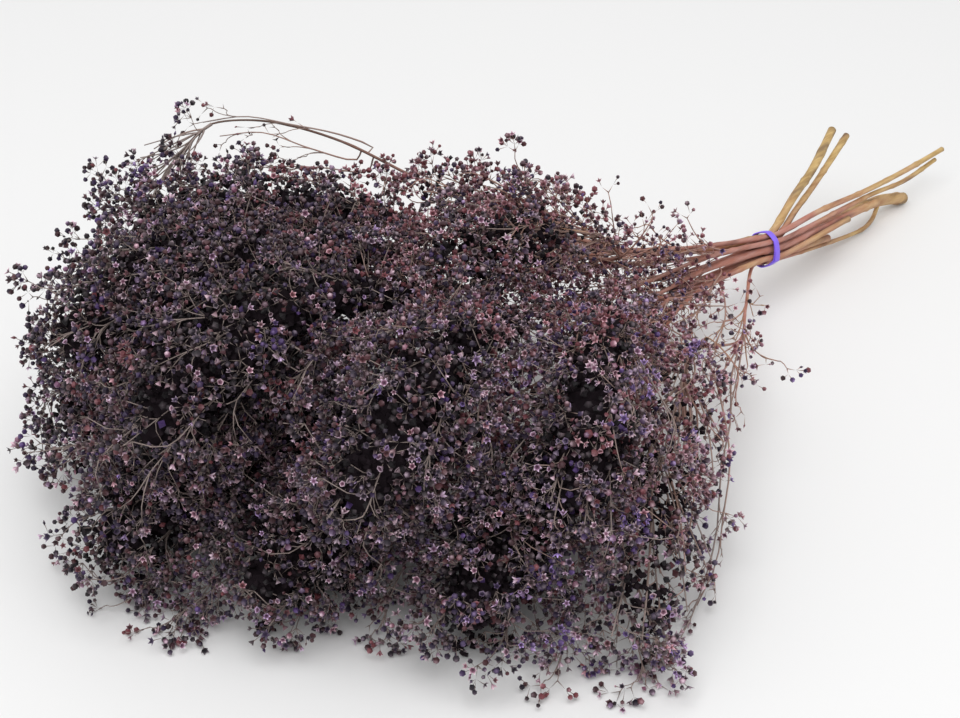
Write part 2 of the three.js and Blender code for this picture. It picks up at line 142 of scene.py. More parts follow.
def tubesAlong(paths, radii, sides, endShare=0.1):
    # Rings carried along many paths at once: centre + radius * (cos * across + sin * up), with flat
    # ends that take a share of the map
    count, rings, _ = paths.shape
    heading = unit(np.gradient(paths, axis=1))
    whole = unit(paths[:, -1] - paths[:, 0])
    across = unit(np.cross(np.eye(3)[np.argmin(np.abs(whole), axis=-1)][:, None], heading))
    up = np.cross(heading, across)
    angle = np.arange(sides) * 2 * np.pi / sides
    spokes = np.cos(angle)[:, None] * across[:, :, None] + np.sin(angle)[:, None] * up[:, :, None]
    reach = np.broadcast_to(radii, (count, rings))[:, :, None, None]
    points = (paths[:, :, None] + reach * spokes).reshape(count, -1, 3)
    faces, corners = loftFaces(rings, sides)
    fan = np.arange(1, sides - 1)
    last = (rings - 1) * sides
    low = np.stack([0 * fan, fan + 1, fan], 1)
    high = np.stack([0 * fan, fan, fan + 1], 1) + last
    ends = np.stack([fan / sides, 0 * fan], 1)[:, None] + np.array([[0, 0], [1 / sides, 0], [0, endShare]])
    farEnds = (1 - endShare) * (ends + [0, 1])
    return points, np.vstack([faces, low, high]), np.vstack([corners, ends, farEnds])


def turnedShape(rows, sides, lobes=0, poleShare=0.2):
    # Rings of (height, radius, lobe depth, lobe lift) round an axis, closed by a point at each end:
    # radius * (1 + depth * cos(lobes * angle)), height + lift * cos(lobes * angle)
    (bottom, top), rings = (rows[0], rows[-1]), np.array(rows[1:-1], float)
    angle = np.arange(sides) * 2 * np.pi / sides
    wave = np.cos(lobes * angle) if lobes else 0 * angle
    radius = rings[:, 1:2] * (1 + rings[:, 2:3] * wave)
    height = rings[:, 0:1] + rings[:, 3:4] * wave
    body = np.stack([radius * np.cos(angle), radius * np.sin(angle), height], -1).reshape(-1, 3)
    points = np.vstack([body, [0, 0, bottom[0]], [0, 0, top[0]]])
    faces, corners = loftFaces(len(rings), sides)
    corners = corners * [1, 1 - 2 * poleShare] + [0, poleShare]
    side = np.arange(sides)
    after = (side + 1) % sides
    last = (len(rings) - 1) * sides
    low = np.stack([after, side, 0 * side + len(body)], 1)
    high = np.stack([side + last, after + last, 0 * side + len(body) + 1], 1)
    edge = np.stack([side / sides, 0 * side], 1)[:, None]
    step = 1 / sides
    lowPlaces = edge + np.array([[step, poleShare], [0, poleShare], [step / 2, 0]])
    highPlaces = edge + np.array([[0, 1 - poleShare], [step, 1 - poleShare], [step / 2, 1]])
    return points, np.vstack([faces, low, high]), np.vstack([corners, lowPlaces, highPlaces])


def copiesOf(shape, centres, axes, turns, sizes):
    # Each copy: centre + size * (x * across + y * up + z * axis), with across turned about the axis
    points, faces, corners = shape
    across, up = squareTo(axes)
    cos, sin = np.cos(turns)[:, None], np.sin(turns)[:, None]
    across, up = cos * across + sin * up, cos * up - sin * across
    placed = np.einsum("pk,nkc->npc", points, np.stack([across, up, axes], 1))
    return centres[:, None] + sizes[:, None, None] * placed, faces, corners


def addToScene(name, data):
    # A new object at the origin, unturned and unscaled
    thing = bpy.data.objects.new(name, data)
    bpy.context.scene.collection.objects.link(thing)
    return thing


class Piece:
    # One mesh in the making: groups of copies, each copy with a cell of its own on the map
    margin = 0.12  # of a cell, left empty on each side

    def __init__(self, name):
        self.name = name
        self.points, self.faces, self.places, self.finish, self.marks = [], [], [], [], []
        self.count = 0
        self.level = 0.0

    def add(self, made, share, finish=0, tone=0.5, rim=0.0, hue=0.5):
        # share is the part of the map that the group takes; tone and hue are for each copy, rim for
        # each point
        points, faces, corners = made
        copies, each, _ = points.shape
        if copies == 0:
            return
        rows = max(1, round(math.sqrt(copies * share)))
        columns = math.ceil(copies / rows)
        number = np.arange(copies)
        cell = np.stack([number % columns / columns, self.level + number // columns * share / rows], 1)
        inCell = self.margin + (1 - 2 * self.margin) * np.clip(corners, 0, 1)
        places = cell[:, None, None] + inCell * np.array([1 / columns, share / rows])
        offset = self.count + number[:, None, None] * each
        tones, hues = (np.broadcast_to(np.reshape(mark, (-1, 1)), (copies, each)) for mark in (tone, hue))
        rims = np.broadcast_to(rim, (copies, each))
        self.points.append(points.reshape(-1, 3))
        self.faces.append((faces[None] + offset).reshape(-1, 3))
        self.places.append(places.reshape(-1, 2))
        self.finish.append(np.full(copies * len(faces), finish))
        self.marks.append(np.stack([tones.ravel(), rims.ravel(), hues.ravel()], 1))
        self.count += copies * each
        self.level += share

    def build(self, materials, slot, nodes=(), flat=()):
        points = toMetres(notBelow(np.vstack(self.points), bunch["floorGap"])).astype(np.float32)
        faces = np.vstack(self.faces).astype(np.int32)
        mesh = bpy.data.meshes.new(self.name)
        mesh.vertices.add(len(points))
        mesh.vertices.foreach_set("co", points.ravel())
        mesh.loops.add(faces.size)
        mesh.loops.foreach_set("vertex_index", faces.ravel())
        mesh.polygons.add(len(faces))
        mesh.polygons.foreach_set("loop_start", np.arange(0, faces.size, 3, dtype=np.int32))
        finish = np.concatenate(self.finish).astype(np.int32)
        mesh.polygons.foreach_set("material_index", finish)
        mesh.polygons.foreach_set("use_smooth", ~np.isin(finish, flat))
        layer = mesh.uv_layers.new(name="OFBake")
        layer.uv.foreach_set("vector", np.vstack(self.places).astype(np.float32).ravel())
        marks = np.vstack(self.marks).astype(np.float32)
        for column, name in enumerate(("tone", "rim", "hue")):
            attribute = mesh.attributes.new(name, "FLOAT", "POINT")
            attribute.data.foreach_set("value", np.ascontiguousarray(marks[:, column]))
        mesh.update(calc_edges=True)
        for material in materials:
            mesh.materials.append(material)
        thing = addToScene(self.name, mesh)
        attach(thing, "root")
        if nodes:
            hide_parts(*nodes)
        return len(faces)


# Finishes

class Socket:
    # A value in a node tree, so that maths is written as Python and adds its Math nodes
    def __init__(self, paint, output):
        self.paint, self.output = paint, output

    def maths(self, operation, first, second, clamp=False):
        settings = {"operation": operation, "use_clamp": clamp}
        return self.paint.node("ShaderNodeMath", settings, {0: first, 1: second})

    def __add__(self, other):
        return self.maths("ADD", self, other)

    def __sub__(self, other):
        return self.maths("SUBTRACT", self, other)

    def __mul__(self, other):
        return self.maths("MULTIPLY", self, other)

    def __radd__(self, other):
        return self.maths("ADD", other, self)

    def __rsub__(self, other):
        return self.maths("SUBTRACT", other, self)

    def __rmul__(self, other):
        return self.maths("MULTIPLY", other, self)

    def clamped(self):
        return self.maths("ADD", self, 0.0, clamp=True)


class Paint:
    # A material whose nodes all come from one method: type, settings first, then inputs
    def __init__(self, name):
        self.material = bpy.data.materials.new(name)
        self.material.use_nodes = True
        self.tree = self.material.node_tree
        self.shader = self.tree.nodes["Principled BSDF"]

    def node(self, kind, settings=None, inputs=None, output=0):
        made = self.tree.nodes.new(kind)
        for key, value in (settings or {}).items():
            if key == "stops":
                stops = made.color_ramp.elements
                while len(stops) < len(value):
                    stops.new(0.5)
                for stop, (place, colour) in zip(stops, value):
                    stop.position = place
                    stop.color = (*colour, 1)
            else:
                setattr(made, key, value)
        for key, value in (inputs or {}).items():
            self.give(made.inputs[key], value)
        return Socket(self, made.outputs[output])

    def give(self, target, value):
        if isinstance(value, Socket):
            self.tree.links.new(value.output, target)
        elif isinstance(value, tuple) and target.type == "RGBA":
            target.default_value = (*value, 1)
        else:
            target.default_value = value

    def set(self, **inputs):
        for key, value in inputs.items():
            self.give(self.shader.inputs[key.replace("_", " ")], value)
        return self.material

    def place(self):
        return self.node("ShaderNodeTexCoord", output="Object")

    def towardsCut(self):
        # The place along the bunch, in metres, which grows towards the cut ends
        return self.node("ShaderNodeSeparateXYZ", {}, {0: self.place()})

    def mark(self, name):
        return self.node("ShaderNodeAttribute", {"attribute_name": name}, output="Fac")

    def noise(self, scale, detail=2.0, stretch=None):
        where = self.place()
        if stretch:
            where = self.node("ShaderNodeMapping", {}, {"Vector": where, "Scale": stretch})
        return self.node("ShaderNodeTexNoise", {}, {"Vector": where, "Scale": scale, "Detail": detail})

    def ramp(self, factor, stops):
        return self.node("ShaderNodeValToRGB", {"stops": stops}, {"Fac": factor})

    def mix(self, factor, first, second):
        return self.node("ShaderNodeMix", {"data_type": "RGBA"}, {0: factor, 6: first, 7: second}, output=2)

    def darkened(self, factor, colour):
        # The colour, with a share of it halfway to black
        return self.mix(factor, colour, self.mix(0.5, colour, (0.0, 0.0, 0.0)))

    def bump(self, height, strength, distance):
        inputs = {"Height": height, "Strength": strength, "Distance": distance}
        return self.node("ShaderNodeBump", {}, inputs)


podColours = {
    "charcoal": (0.011, 0.0085, 0.0105),
    "plum": (0.046, 0.020, 0.031),
    "mauve": (0.220, 0.090, 0.150),
    # The tips' colours are partly the lobes' own paler dye and partly painted highlight
    "tip": (0.880, 0.680, 0.780),
    "violet": (0.066, 0.032, 0.130),
    "violetTip": (0.640, 0.440, 0.980),
    "pink": (0.190, 0.050, 0.060),
    "pinkTip": (0.920, 0.520, 0.600),
    "charcoalTo": 0.30, "plumAt": 0.60,  # the tones where charcoal ends and where plum is purest
    "tipShare": (0.20, 1.05),  # how much of the tips' colour shows, and how much more it is at full tone
    "grainScale": 900.0, "grainDark": 0.5, "grainRough": 0.2,
    "bump": (0.4, 0.0003),
    "roughness": 0.40,
    "shine": 0.28,
}


def podFinish():
    # Dyed dry pods: charcoal, plum or mauve by tone, tinted violet or pink by hue, with pale lobe tips
    # that are partly their own paler dye and partly painted highlight, and painted shade in the hollows
    paint = Paint("dyed_pods")
    look = podColours
    tone, rim, hue = paint.mark("tone"), paint.mark("rim"), paint.mark("hue")
    violet, pink = (hue * 2 - 1).clamped(), (1 - hue * 2).clamped()
    skin = paint.ramp(tone, [(0.0, look["charcoal"]), (look["charcoalTo"], look["charcoal"]),
                             (look["plumAt"], look["plum"]), (1.0, look["mauve"])])
    skin = paint.mix(violet, paint.mix(pink, skin, look["pink"]), look["violet"])
    tip = paint.mix(violet, paint.mix(pink, look["tip"], look["pinkTip"]), look["violetTip"])
    grain = paint.noise(look["grainScale"])
    colour = paint.darkened(grain * look["grainDark"], skin)
    least, more = look["tipShare"]
    # Pale tips: partly the lobes' own paler dye and partly painted highlight
    colour = paint.mix((rim.clamped() * (least + tone * more)).clamped(), colour, tip)
    # Painted shade: the hollow inside an open pod darkened towards charcoal
    colour = paint.mix((0 - rim).clamped(), colour, look["charcoal"])
    return paint.set(Base_Color=colour, Roughness=look["roughness"] + grain * look["grainRough"],
                     Specular_IOR_Level=look["shine"], Normal=paint.bump(grain, *look["bump"]))


# Near-black colours painted on the innermost pods and cores as shade
innerShadeColours = {"black": (0.0130, 0.0100, 0.0120), "charcoal": (0.025, 0.018, 0.022), "patchScale": 160.0,
               "roughness": 0.9}


def innerShadeFinish():
    # The pods deep inside the sprays: matt and almost black, painted shade in place of their dyed colour
    paint = Paint("inner_pods_painted_shade")
    look = innerShadeColours
    patch = paint.noise(look["patchScale"])
    return paint.set(Base_Color=paint.mix(patch, look["black"], look["charcoal"]),
                     Roughness=look["roughness"], Specular_IOR_Level=0.0)


twigColours = {
    "grey": (0.300, 0.235, 0.215),
    "brown": (0.440, 0.270, 0.220),
    "pink": (0.450, 0.220, 0.190),
    "tan": (0.520, 0.330, 0.150),
    "towardsCut": 4.0, "patches": 0.7, "each": 0.6, "greyFrom": 0.08,  # what turns the grey to pink
    "patchScale": 26.0, "tanContrast": 4.0, "tanFrom": 1.9,
    "grainScale": 700.0, "grainDark": 0.4,
    "bump": (0.4, 0.0002),
    "roughness": 0.6,
}


def twigFinish():
    # Thin dyed twigs: grey brown in the blooms, pinkish and tan towards the neck
    paint = Paint("dyed_twigs")
    look = twigColours
    patch = paint.noise(look["patchScale"])
    near = paint.towardsCut() * look["towardsCut"] + patch * look["patches"]
    near = (near + paint.mark("tone") * look["each"] - look["greyFrom"]).clamped()
    wood = paint.mix((patch * look["tanContrast"] - look["tanFrom"]).clamped(), look["pink"], look["tan"])
    colour = paint.ramp(near, [(0.0, look["grey"]), (0.5, look["brown"]), (1.0, look["pink"])])
    colour = paint.mix((near * 2 - 1).clamped(), colour, wood)
    grain = paint.noise(look["grainScale"])
    return paint.set(Base_Color=paint.darkened(grain * look["grainDark"], colour),
                     Roughness=look["roughness"], Normal=paint.bump(grain, *look["bump"]))


stemColours = {
    "ochre": (0.420, 0.260, 0.090),
    "straw": (0.640, 0.450, 0.190),
    "pinkBrown": (0.420, 0.160, 0.110),
    "rose": (0.480, 0.250, 0.210),
    "dark": (0.085, 0.035, 0.028),
    "grey": (0.130, 0.080, 0.060),
    "fibre": (170.0, 5.0, (0.07, 1.0, 1.0)),  # each noise: scale, detail, and stretch along the stems
    "flake": (420.0, 3.0, (0.16, 1.0, 1.0)),
    "blotch": (46.0, 3.0, (0.45, 1.0, 1.0)),
    "towardsCut": 9.0, "blotches": 2.2, "each": 1.1, "strawFrom": 2.5,  # what turns the dye to straw
    "flakeContrast": 3.0, "flakeFrom": 1.0,
    "greyTowardsBlooms": 7.0, "greyAtMiddle": 0.25,
    "streakContrast": 4.4, "streakFrom": 2.25, "streakShare": 0.85,
    "relief": (0.6, 0.4),  # of the fibres and the flakes
    "bump": (1.0, 0.0011),
    "roughness": 0.66,
}


def stemFinish():
    # Bark with long fibres: straw at the cut ends, dyed pinkish brown from there to the blooms
    paint = Paint("dyed_bark")
    look = stemColours
    along = paint.towardsCut()
    fibre, flake, blotch = (paint.noise(*look[kind]) for kind in ("fibre", "flake", "blotch"))
    cut = along * look["towardsCut"] + blotch * look["blotches"]
    cut = (cut + paint.mark("tone") * look["each"] - look["strawFrom"]).clamped()
    flaked = (flake * look["flakeContrast"] - look["flakeFrom"]).clamped()
    bark = paint.mix(cut, paint.mix(flaked, look["pinkBrown"], look["rose"]),
                     paint.mix(flaked, look["ochre"], look["straw"]))
    grey = (look["greyAtMiddle"] - along * look["greyTowardsBlooms"]).clamped()
    bark = paint.mix(grey, bark, look["grey"])
    streaks = (fibre * look["streakContrast"] - look["streakFrom"]).clamped() * look["streakShare"]
    fibres, flakes = look["relief"]
    return paint.set(Base_Color=paint.mix(streaks, bark, look["dark"]), Roughness=look["roughness"],
                     Normal=paint.bump(fibre * fibres + flake * flakes, *look["bump"]))


bandColours = {"violet": (0.280, 0.160, 0.930), "dark": (0.190, 0.105, 0.760), "cloud": (420.0, 3.0),
               "cloudRough": 0.15, "bump": (0.25, 0.0002), "roughness": 0.36}


def bandFinish():
    # Smooth rubber with a faint chalky bloom
    paint = Paint("violet_rubber")
    look = bandColours
    cloud = paint.noise(*look["cloud"])
    return paint.set(Base_Color=paint.mix(cloud, look["dark"], look["violet"]),
                     Roughness=look["roughness"] + cloud * look["cloudRough"],
                     Normal=paint.bump(cloud, *look["bump"]))


bloomPaints = [podFinish(), twigFinish(), innerShadeFinish()]
podFace, twigFace, innerShadeFace = range(3)  # their places in the list
stemPaint, bandPaint = stemFinish(), bandFinish()
print("finishes made")


def buildBloom(piece, nodes=()):
    # The pods' faces stay flat, and the twigs' are smooth
    return piece.build(bloomPaints, "bloom", nodes, flat=(podFace, innerShadeFace))


# Sprays: where the twig enters, the crest of the arch, the tip, and the half width and thickness
sprays = {
    "low_back": {"line": [(60, 60, 44), (-10, 118, 44), (-80, 166, 32)], "half": (46, 38)},
    "low_far_left": {"line": [(20, 40, 42), (-80, 92, 42), (-164, 125, 32)], "half": (48, 38)},
    "low_left": {"line": [(-20, 14, 38), (-110, 38, 40), (-199, 43, 24)], "half": (48, 36)},
    "low_front": {"line": [(10, -10, 36), (-80, -23, 38), (-168, -22, 20)], "half": (48, 34)},
    "low_front_right": {"line": [(36, -34, 36), (-38, -74, 40), (-111, -99, 18)], "half": (46, 34)},
    "low_right": {"line": [(66, -46, 38), (2, -110, 42), (-66, -166, 22)], "half": (36, 31)},
    "right_near": {"line": [(100, -50, 46), (55, -79, 59), (11, -118, 40)], "half": (32, 31)},
    "high_far": {"line": [(34, 62, 80), (-26, 106, 106), (-108, 150, 84)], "half": (46, 36)},
    "high_left": {"line": [(14, 42, 84), (-76, 72, 116), (-176, 100, 86)], "half": (48, 36)},
    "high_middle": {"line": [(-4, 6, 82), (-90, 20, 120), (-184, 22, 78)], "half": (48, 38)},
    "high_front": {"line": [(22, -18, 76), (-58, -42, 110), (-140, -68, 70)], "half": (46, 36)},
    "high_right": {"line": [(66, -34, 66), (0, -76, 100), (-62, -126, 62)], "half": (42, 34)},
    "crown_back": {"line": [(94, 26, 76), (64, 50, 98), (26, 76, 110)], "half": (30, 28)},
    "crown_front": {"line": [(96, 0, 76), (58, 2, 106), (-24, 8, 120)], "half": (40, 30)},
    "arch": {"line": [(-24, 173, 128), (-46, 176, 114), (-80, 167, 90)], "half": (25, 23)},
}
sprayForm = {"rootSwelling": 0.22, "power": 0.85, "widestAt": 0.7, "stations": 33, "batch": 20000}


def swelling(share):
    # From the root's share up to the widest place by a power, then closing as a round dome
    low, power, widest = (sprayForm[key] for key in ("rootSwelling", "power", "widestAt"))
    rise = low + (1 - low) * (np.clip(share, 0, widest) / widest) ** power
    dome = np.sqrt(np.clip(1 - (np.maximum(share - widest, 0) / (1 - widest)) ** 2, 0, 1))
    return rise * dome


def onAxis(spray, share):
    # The middle line and its direction: a quadratic curve whose handle makes it pass the crest
    root, crest, tip = (np.array(spot, float) for spot in spray["line"])
    handle = 2 * crest - (root + tip) / 2
    t = share[:, None]
    spot = root * (1 - t) ** 2 + 2 * handle * t * (1 - t) + tip * t ** 2
    return spot, unit(2 * (handle - root) * (1 - t) + 2 * (tip - handle) * t)


def inSpray(spray, share, angle, out):
    # A place round the middle line, with out as its share of the full half widths
    spot, heading = onAxis(spray, share)
    across = unit(np.cross(heading, [0, 0, 1]))
    up = np.cross(across, heading)
    reach = (swelling(share) * out)[:, None]
    wide, thick = spray["half"]
    return spot + reach * (wide * np.cos(angle)[:, None] * across + thick * np.sin(angle)[:, None] * up)


axisShares = np.linspace(0, 1, sprayForm["stations"])
ballCentres = np.vstack([onAxis(spray, axisShares)[0] for spray in sprays.values()])
ballRadii = np.concatenate([sum(spray["half"]) / 2 * swelling(axisShares) for spray in sprays.values()])


def depthInSprays(points):
    # How deep each place lies in each spray: the greatest of radius - distance over balls on its line
    depths = []
    for part in np.array_split(points, 1 + len(points) // sprayForm["batch"]):
        away = (part ** 2).sum(1)[:, None] + (ballCentres ** 2).sum(1) - 2 * part @ ballCentres.T
        depth = ballRadii - np.sqrt(np.maximum(away, 0))
        depths.append(depth.reshape(len(part), len(sprays), -1).max(2))
    return np.vstack(depths)


# The skin that the pods fill: the sprays melted together, taken in a little, with slow waves
skin = {"melt": 13.0, "takenIn": 10.0, "waves": 4.0, "waveLengths": (74.0, 88.0, 62.0), "phase": 0.7,
        "slopeStep": 3.0}


def slowWaves(points, phase):
    # Two products of sines along slanted directions: six tenths of a slow one, four of a finer one
    x, y, z = (points * 2 * np.pi / np.array(skin["waveLengths"]) + phase).T
    return np.sin(x + 0.6 * z) * np.sin(y - 0.4 * x) * 0.6 + np.sin(1.9 * z + x) * np.sin(1.7 * y + z) * 0.4


def skinDepth(points):
    # Depth below the skin: melt * log(sum of exp(depth in a spray / melt)), and the deepest spray
    depths = depthInSprays(points)
    melted = skin["melt"] * np.log(np.exp(depths / skin["melt"]).sum(1) + 1e-30)
    return melted - skin["takenIn"] + skin["waves"] * slowWaves(points, skin["phase"]), depths.argmax(1)


def outwardAt(points):
    # The way out of the bunch: down the slope of the skin's depth
    here = skinDepth(points)[0]
    slopes = [skinDepth(points + step)[0] - here for step in skin["slopeStep"] * np.eye(3)]
    return -unit(np.stack(slopes, 1))


# Stems: the cut end first, the places passed before the band, the place in the bundle, the radii
# at the cut end and at the band, and the spray that the stem grows into
bundle = {
    "centre": (211, -4, 36), "lean": math.atan(0.25), "straight": 9.0,
    "neck": (152, -3.5, 48), "neckSpread": 1.75,
    "cutEnd": 0.2, "bandShare": 0.42, "thinAt": 0.62,  # shares of a stem's length
    "thinRadius": 1.0, "twigRadius": 0.45,
    "inSpray": 0.16,  # how far into its spray a stem goes
    "pace": 3.5, "leastPlaces": 12,
}
stems = {
    "stem_thick_upper": {"cut": [(322, 38, 53), (279, 18.8, 50), (251, 9.6, 46.8)], "held": (5.6, 3.2),
                         "radii": (2.5, 2.2), "spray": "arch",
                         "via": [(102, 40, 64), (50, 98, 98), (22, 130, 119), (-4, 156, 129)]},
    "stem_slim_upper": {"cut": [(334, 35.5, 46), (278, 15.6, 41.6), (250, 6.4, 40)], "held": (1.0, 2.6),
                        "radii": (2.0, 1.7), "spray": "low_back", "via": [(112, 30, 50)]},
    "stem_long_upper": {"cut": [(402, 10, 22), (358, 6, 25.4), (311, 2.2, 30.6), (262, -1, 37.6)],
                        "held": (0.6, 6.6), "radii": (1.5, 1.6), "spray": "high_left",
                        "via": [(90, 18, 72)]},
    "stem_long_lower": {"cut": [(394, 9, 18), (354, 4, 20.2), (318, 2.4, 25.4)], "held": (-3.4, 5.0),
                        "radii": (1.3, 1.4), "spray": "high_middle", "via": [(84, -8, 64)]},
    "stem_thickest": {"cut": [(363, 8, 3.3), (338, 9, 10.6), (275, 3, 21.5)], "held": (2.2, -2.6),
                      "radii": (3.5, 2.9), "spray": "low_far_left", "via": [(92, 20, 46)]},
    "stem_olive": {"cut": [(322, 0, 20)], "held": (-3.2, 0.4), "radii": (2.1, 2.0),
                   "spray": "high_front", "via": [(90, -16, 58)]},
    "stem_short_olive": {"cut": [(283, -7.2, 27)], "held": (-6.1, -3.4), "radii": (1.7, 1.5),
                         "spray": "low_right", "via": [(112, -24, 46)]},
    "stem_pink": {"cut": [(273, -2, 16)], "held": (-2.6, -5.0), "radii": (1.8, 1.7),
                  "spray": "low_front_right", "via": [(92, -20, 34)]},
    "stem_hidden": {"cut": [(292, 9.6, 14)], "held": (2.4, -7.8), "radii": (1.7, 1.6),
                    "spray": "low_front", "via": [(92, -5, 34)]},
}
forks = [
    {"stem": "stem_thick_upper", "at": 0.62, "radius": 1.3, "spray": "crown_back", "via": [(116, 14, 66)]},
    {"stem": "stem_slim_upper", "at": 0.74, "radius": 1.3, "spray": "high_far", "via": [(84, 40, 64)]},
    {"stem": "stem_long_upper", "at": 0.76, "radius": 1.2, "spray": "crown_front", "via": []},
    {"stem": "stem_thickest", "at": 0.72, "radius": 1.6, "spray": "low_left", "via": [(60, 12, 40)]},
    {"stem": "stem_olive", "at": 0.66, "radius": 1.3, "spray": "high_right", "via": [(104, -26, 60)]},
]
sideShoot = {
    "leaves": [(338, 9, 9.4), (334.5, 8, 5.2), (328, 5.4, 3.4), (316, 2.6, 3.0), (301, 1.4, 5.2),
               (270, -0.6, 11.8), (240, -3.4, 19.6)],
    "held": (-1.4, -8.5), "radii": (1.3, 1.0), "bandShare": 0.5, "via": [(164, -30, 31), (129, -53, 36)],
    "stem": "stem_thickest", "spray": "right_near",
}
bundleAxis = np.array([math.cos(bundle["lean"]), 0, -math.sin(bundle["lean"])])
bundleUp = np.array([math.sin(bundle["lean"]), 0, math.cos(bundle["lean"])])


def atBand(held):
    # Places by the band, from the cut ends' side on: across is level, up is square to the stems
    across, up = held
    middle = np.array(bundle["centre"]) + [0, across, 0] + up * bundleUp
    return [middle + bundle["straight"] * side * bundleAxis for side in (1, 0, -1)]


def intoSpray(name):
    # The last two places of a route: where the spray begins and a little way along its middle line
    return list(onAxis(sprays[name], np.array([0, bundle["inSpray"]]))[0])


def stemRoute(stem):
    # From the cut end past the band, through the neck and into the spray, as a list of places
    across, up = stem["held"]
    neck = (np.array(bundle["neck"]) + [0, across * bundle["neckSpread"], 0]
            + up * bundle["neckSpread"] * bundleUp)
    return [*stem["cut"], *atBand(stem["held"]), neck, *stem["via"], *intoSpray(stem["spray"])]


def barkLine(route):
    # The route's curve, with its places a pace apart
    places = round(lengthOf(np.array(route)) / bundle["pace"])
    return curveThrough(route, max(bundle["leastPlaces"], places))


def makeBarks():
    # Every line of bark: its stem, its places, and the shares of its length that have given radii
    barks = []
    for name, stem in stems.items():
        line = barkLine(stemRoute(stem))
        cutRadius, bandRadius = stem["radii"]
        barks.append((name, line, [0, bundle["cutEnd"], bundle["bandShare"], bundle["thinAt"], 1],
                      [cutRadius, bandRadius, bandRadius, bundle["thinRadius"], bundle["twigRadius"]]))
        for fork in forks:
            if fork["stem"] == name:
                start = line[round(fork["at"] * (len(line) - 1))]
                route = [start, *fork["via"], *intoSpray(fork["spray"])]
                barks.append((name, barkLine(route), [0, 1], [fork["radius"], bundle["twigRadius"]]))
    route = [*sideShoot["leaves"], *atBand(sideShoot["held"]), *sideShoot["via"],
             *intoSpray(sideShoot["spray"])]
    thick, thin = sideShoot["radii"]
    barks.append((sideShoot["stem"], barkLine(route), [0, sideShoot["bandShare"], 1],
                  [thick, thin, bundle["twigRadius"]]))
    return barks


barks = makeBarks()


# Clusters of pods: each a branchlet to a node, four short twigs from there, and four pods on each
clusters = {
    "pitch": 11.8,
    "jitter": 0.38,  # the share of its cell that a node may move to each side
    "shell": 18.0,  # how deep below the skin the clusters go
    "lowest": 4.0, "lowestPod": 1.9,
    "facing": (0.75, 0.5, 0.25),  # how far a cluster looks outward, along its spray, and by chance
    "branchBend": (0.5, 0.07),  # how long a branchlet keeps its twig's direction, and its chance bends
    "branchStations": 4, "branchSides": 3, "branchRadii": (0.32, 0.24),
    "cymes": 4, "cyme": (2.5, 6.0), "cymeTilt": (0.30, 1.0), "cymeRadius": 0.338,
    "podTilts": (0.95, 0.95, 0.95, 0.15),  # three pods round each short twig's end, and one on top
    "podTiltScatter": 0.18, "podTurn": 0.25,
    "pedicel": (2.6, 6.2), "pedicelRadius": 0.26, "intoPod": 0.5,
    "podRadius": (0.95, 1.70),
    "dropped": 0.08,
    "sprigs": 0.22, "sprigDepth": 7.0,  # the share of outer clusters that stand out on a longer twig
    "sprigReach": (3.0, 13.0),
    "loose": {"arch": 0.75, "right_near": 0.62, "low_right": 0.76, "high_far": 0.88},  # the shares kept
    "thinFrom": 40.0, "thinTo": 122.0, "thinning": 0.58,  # fewer from here to there along the stems
    "mapShares": (0.12, 0.07, 0.14, 0.66),  # of branchlets, short twigs, stalks and pods
}
fillers = {
    "seeds": (12, 13),  # of the places, and of the choice among them
    "pitch": 5.5, "from": 8.0, "to": 22.0, "plainTo": 13.0,  # depths below the skin
    # The plain inner pods' tone is lowered by a share, a painted shade
    "radius": (1.3, 2.2), "turn": (0.0, 6.0), "shadeDim": 0.6,
    "fadeFrom": 20.0, "fadeOver": 60.0, "leastShare": 0.08,  # fewer towards the stems
    "loose": {"arch": 0.0, "right_near": 0.12, "low_right": 0.45, "crown_back": 0.3},
}
limbs = {
    "count": 20, "leaves": (0.0, 0.5), "runs": (0.35, 0.6), "latest": 0.97, "ends": (0.50, 0.90),
    "turn": 2.4, "turnScatter": 0.8, "pull": 0.3, "scatter": 4.0, "lowest": 3.0,
    "stations": 9, "sides": 4, "radii": (0.55, 0.30),
    "mainTo": 0.95, "mainStations": 10, "mainSides": 6, "mainRadii": (0.9, 0.4),
    "behind": 6.0, "behindCost": 3.0,  # a cluster grows from a place at least this far behind it
}
levels = {
    # Deeper than the middle depth, and low under the others, pods get the near-black finish as painted
    # shade
    "fine": 1.0, "middle": 9.0,  # depths below the skin where the pods get plainer
    "lowUnder": 30.0, "coverAbove": 24.0, "coverEase": 6.0,  # low pods count as deep under the others
}
podMix = {
    "starred": (0.05, 0.10), "opened": (0.22, 0.42),  # the share of each kind, and its growth with tone
    "buds": 0.10,
    "scale": {"bud": 0.8, "star": 1.05, "deep": 1.15},
}
mapRoom = {"core": 0.06, "line": 0.02, "limbs": 0.04, "fillers": 0.04, "clusters": 0.82}

podShapes = {
    "star": turnedShape([(-0.60,), (0.15, 1.15, 0.34, 0.30), (0.0,)], 10, 5),
    "calyx": turnedShape([(-1.0,), (0.42, 1.0, 0.20, 0.30), (-0.15,)], 10, 5),
    "bud": turnedShape([(-1.1,), (-0.1, 0.56, 0, 0), (1.2,)], 4),
    "capsule": turnedShape([(-1.0,), (-0.40, 0.90, 0, 0), (0.48, 0.80, 0, 0), (0.95,)], 5),
    "cup": turnedShape([(-1.0,), (0.40, 0.98, 0, 0), (-0.10,)], 5),
    "plain": turnedShape([(-1.0,), (0.0, 0.98, 0, 0), (0.9,)], 5),
    "deep": turnedShape([(-1.0,), (0.0, 1.0, 0, 0), (1.0,)], 4),
}
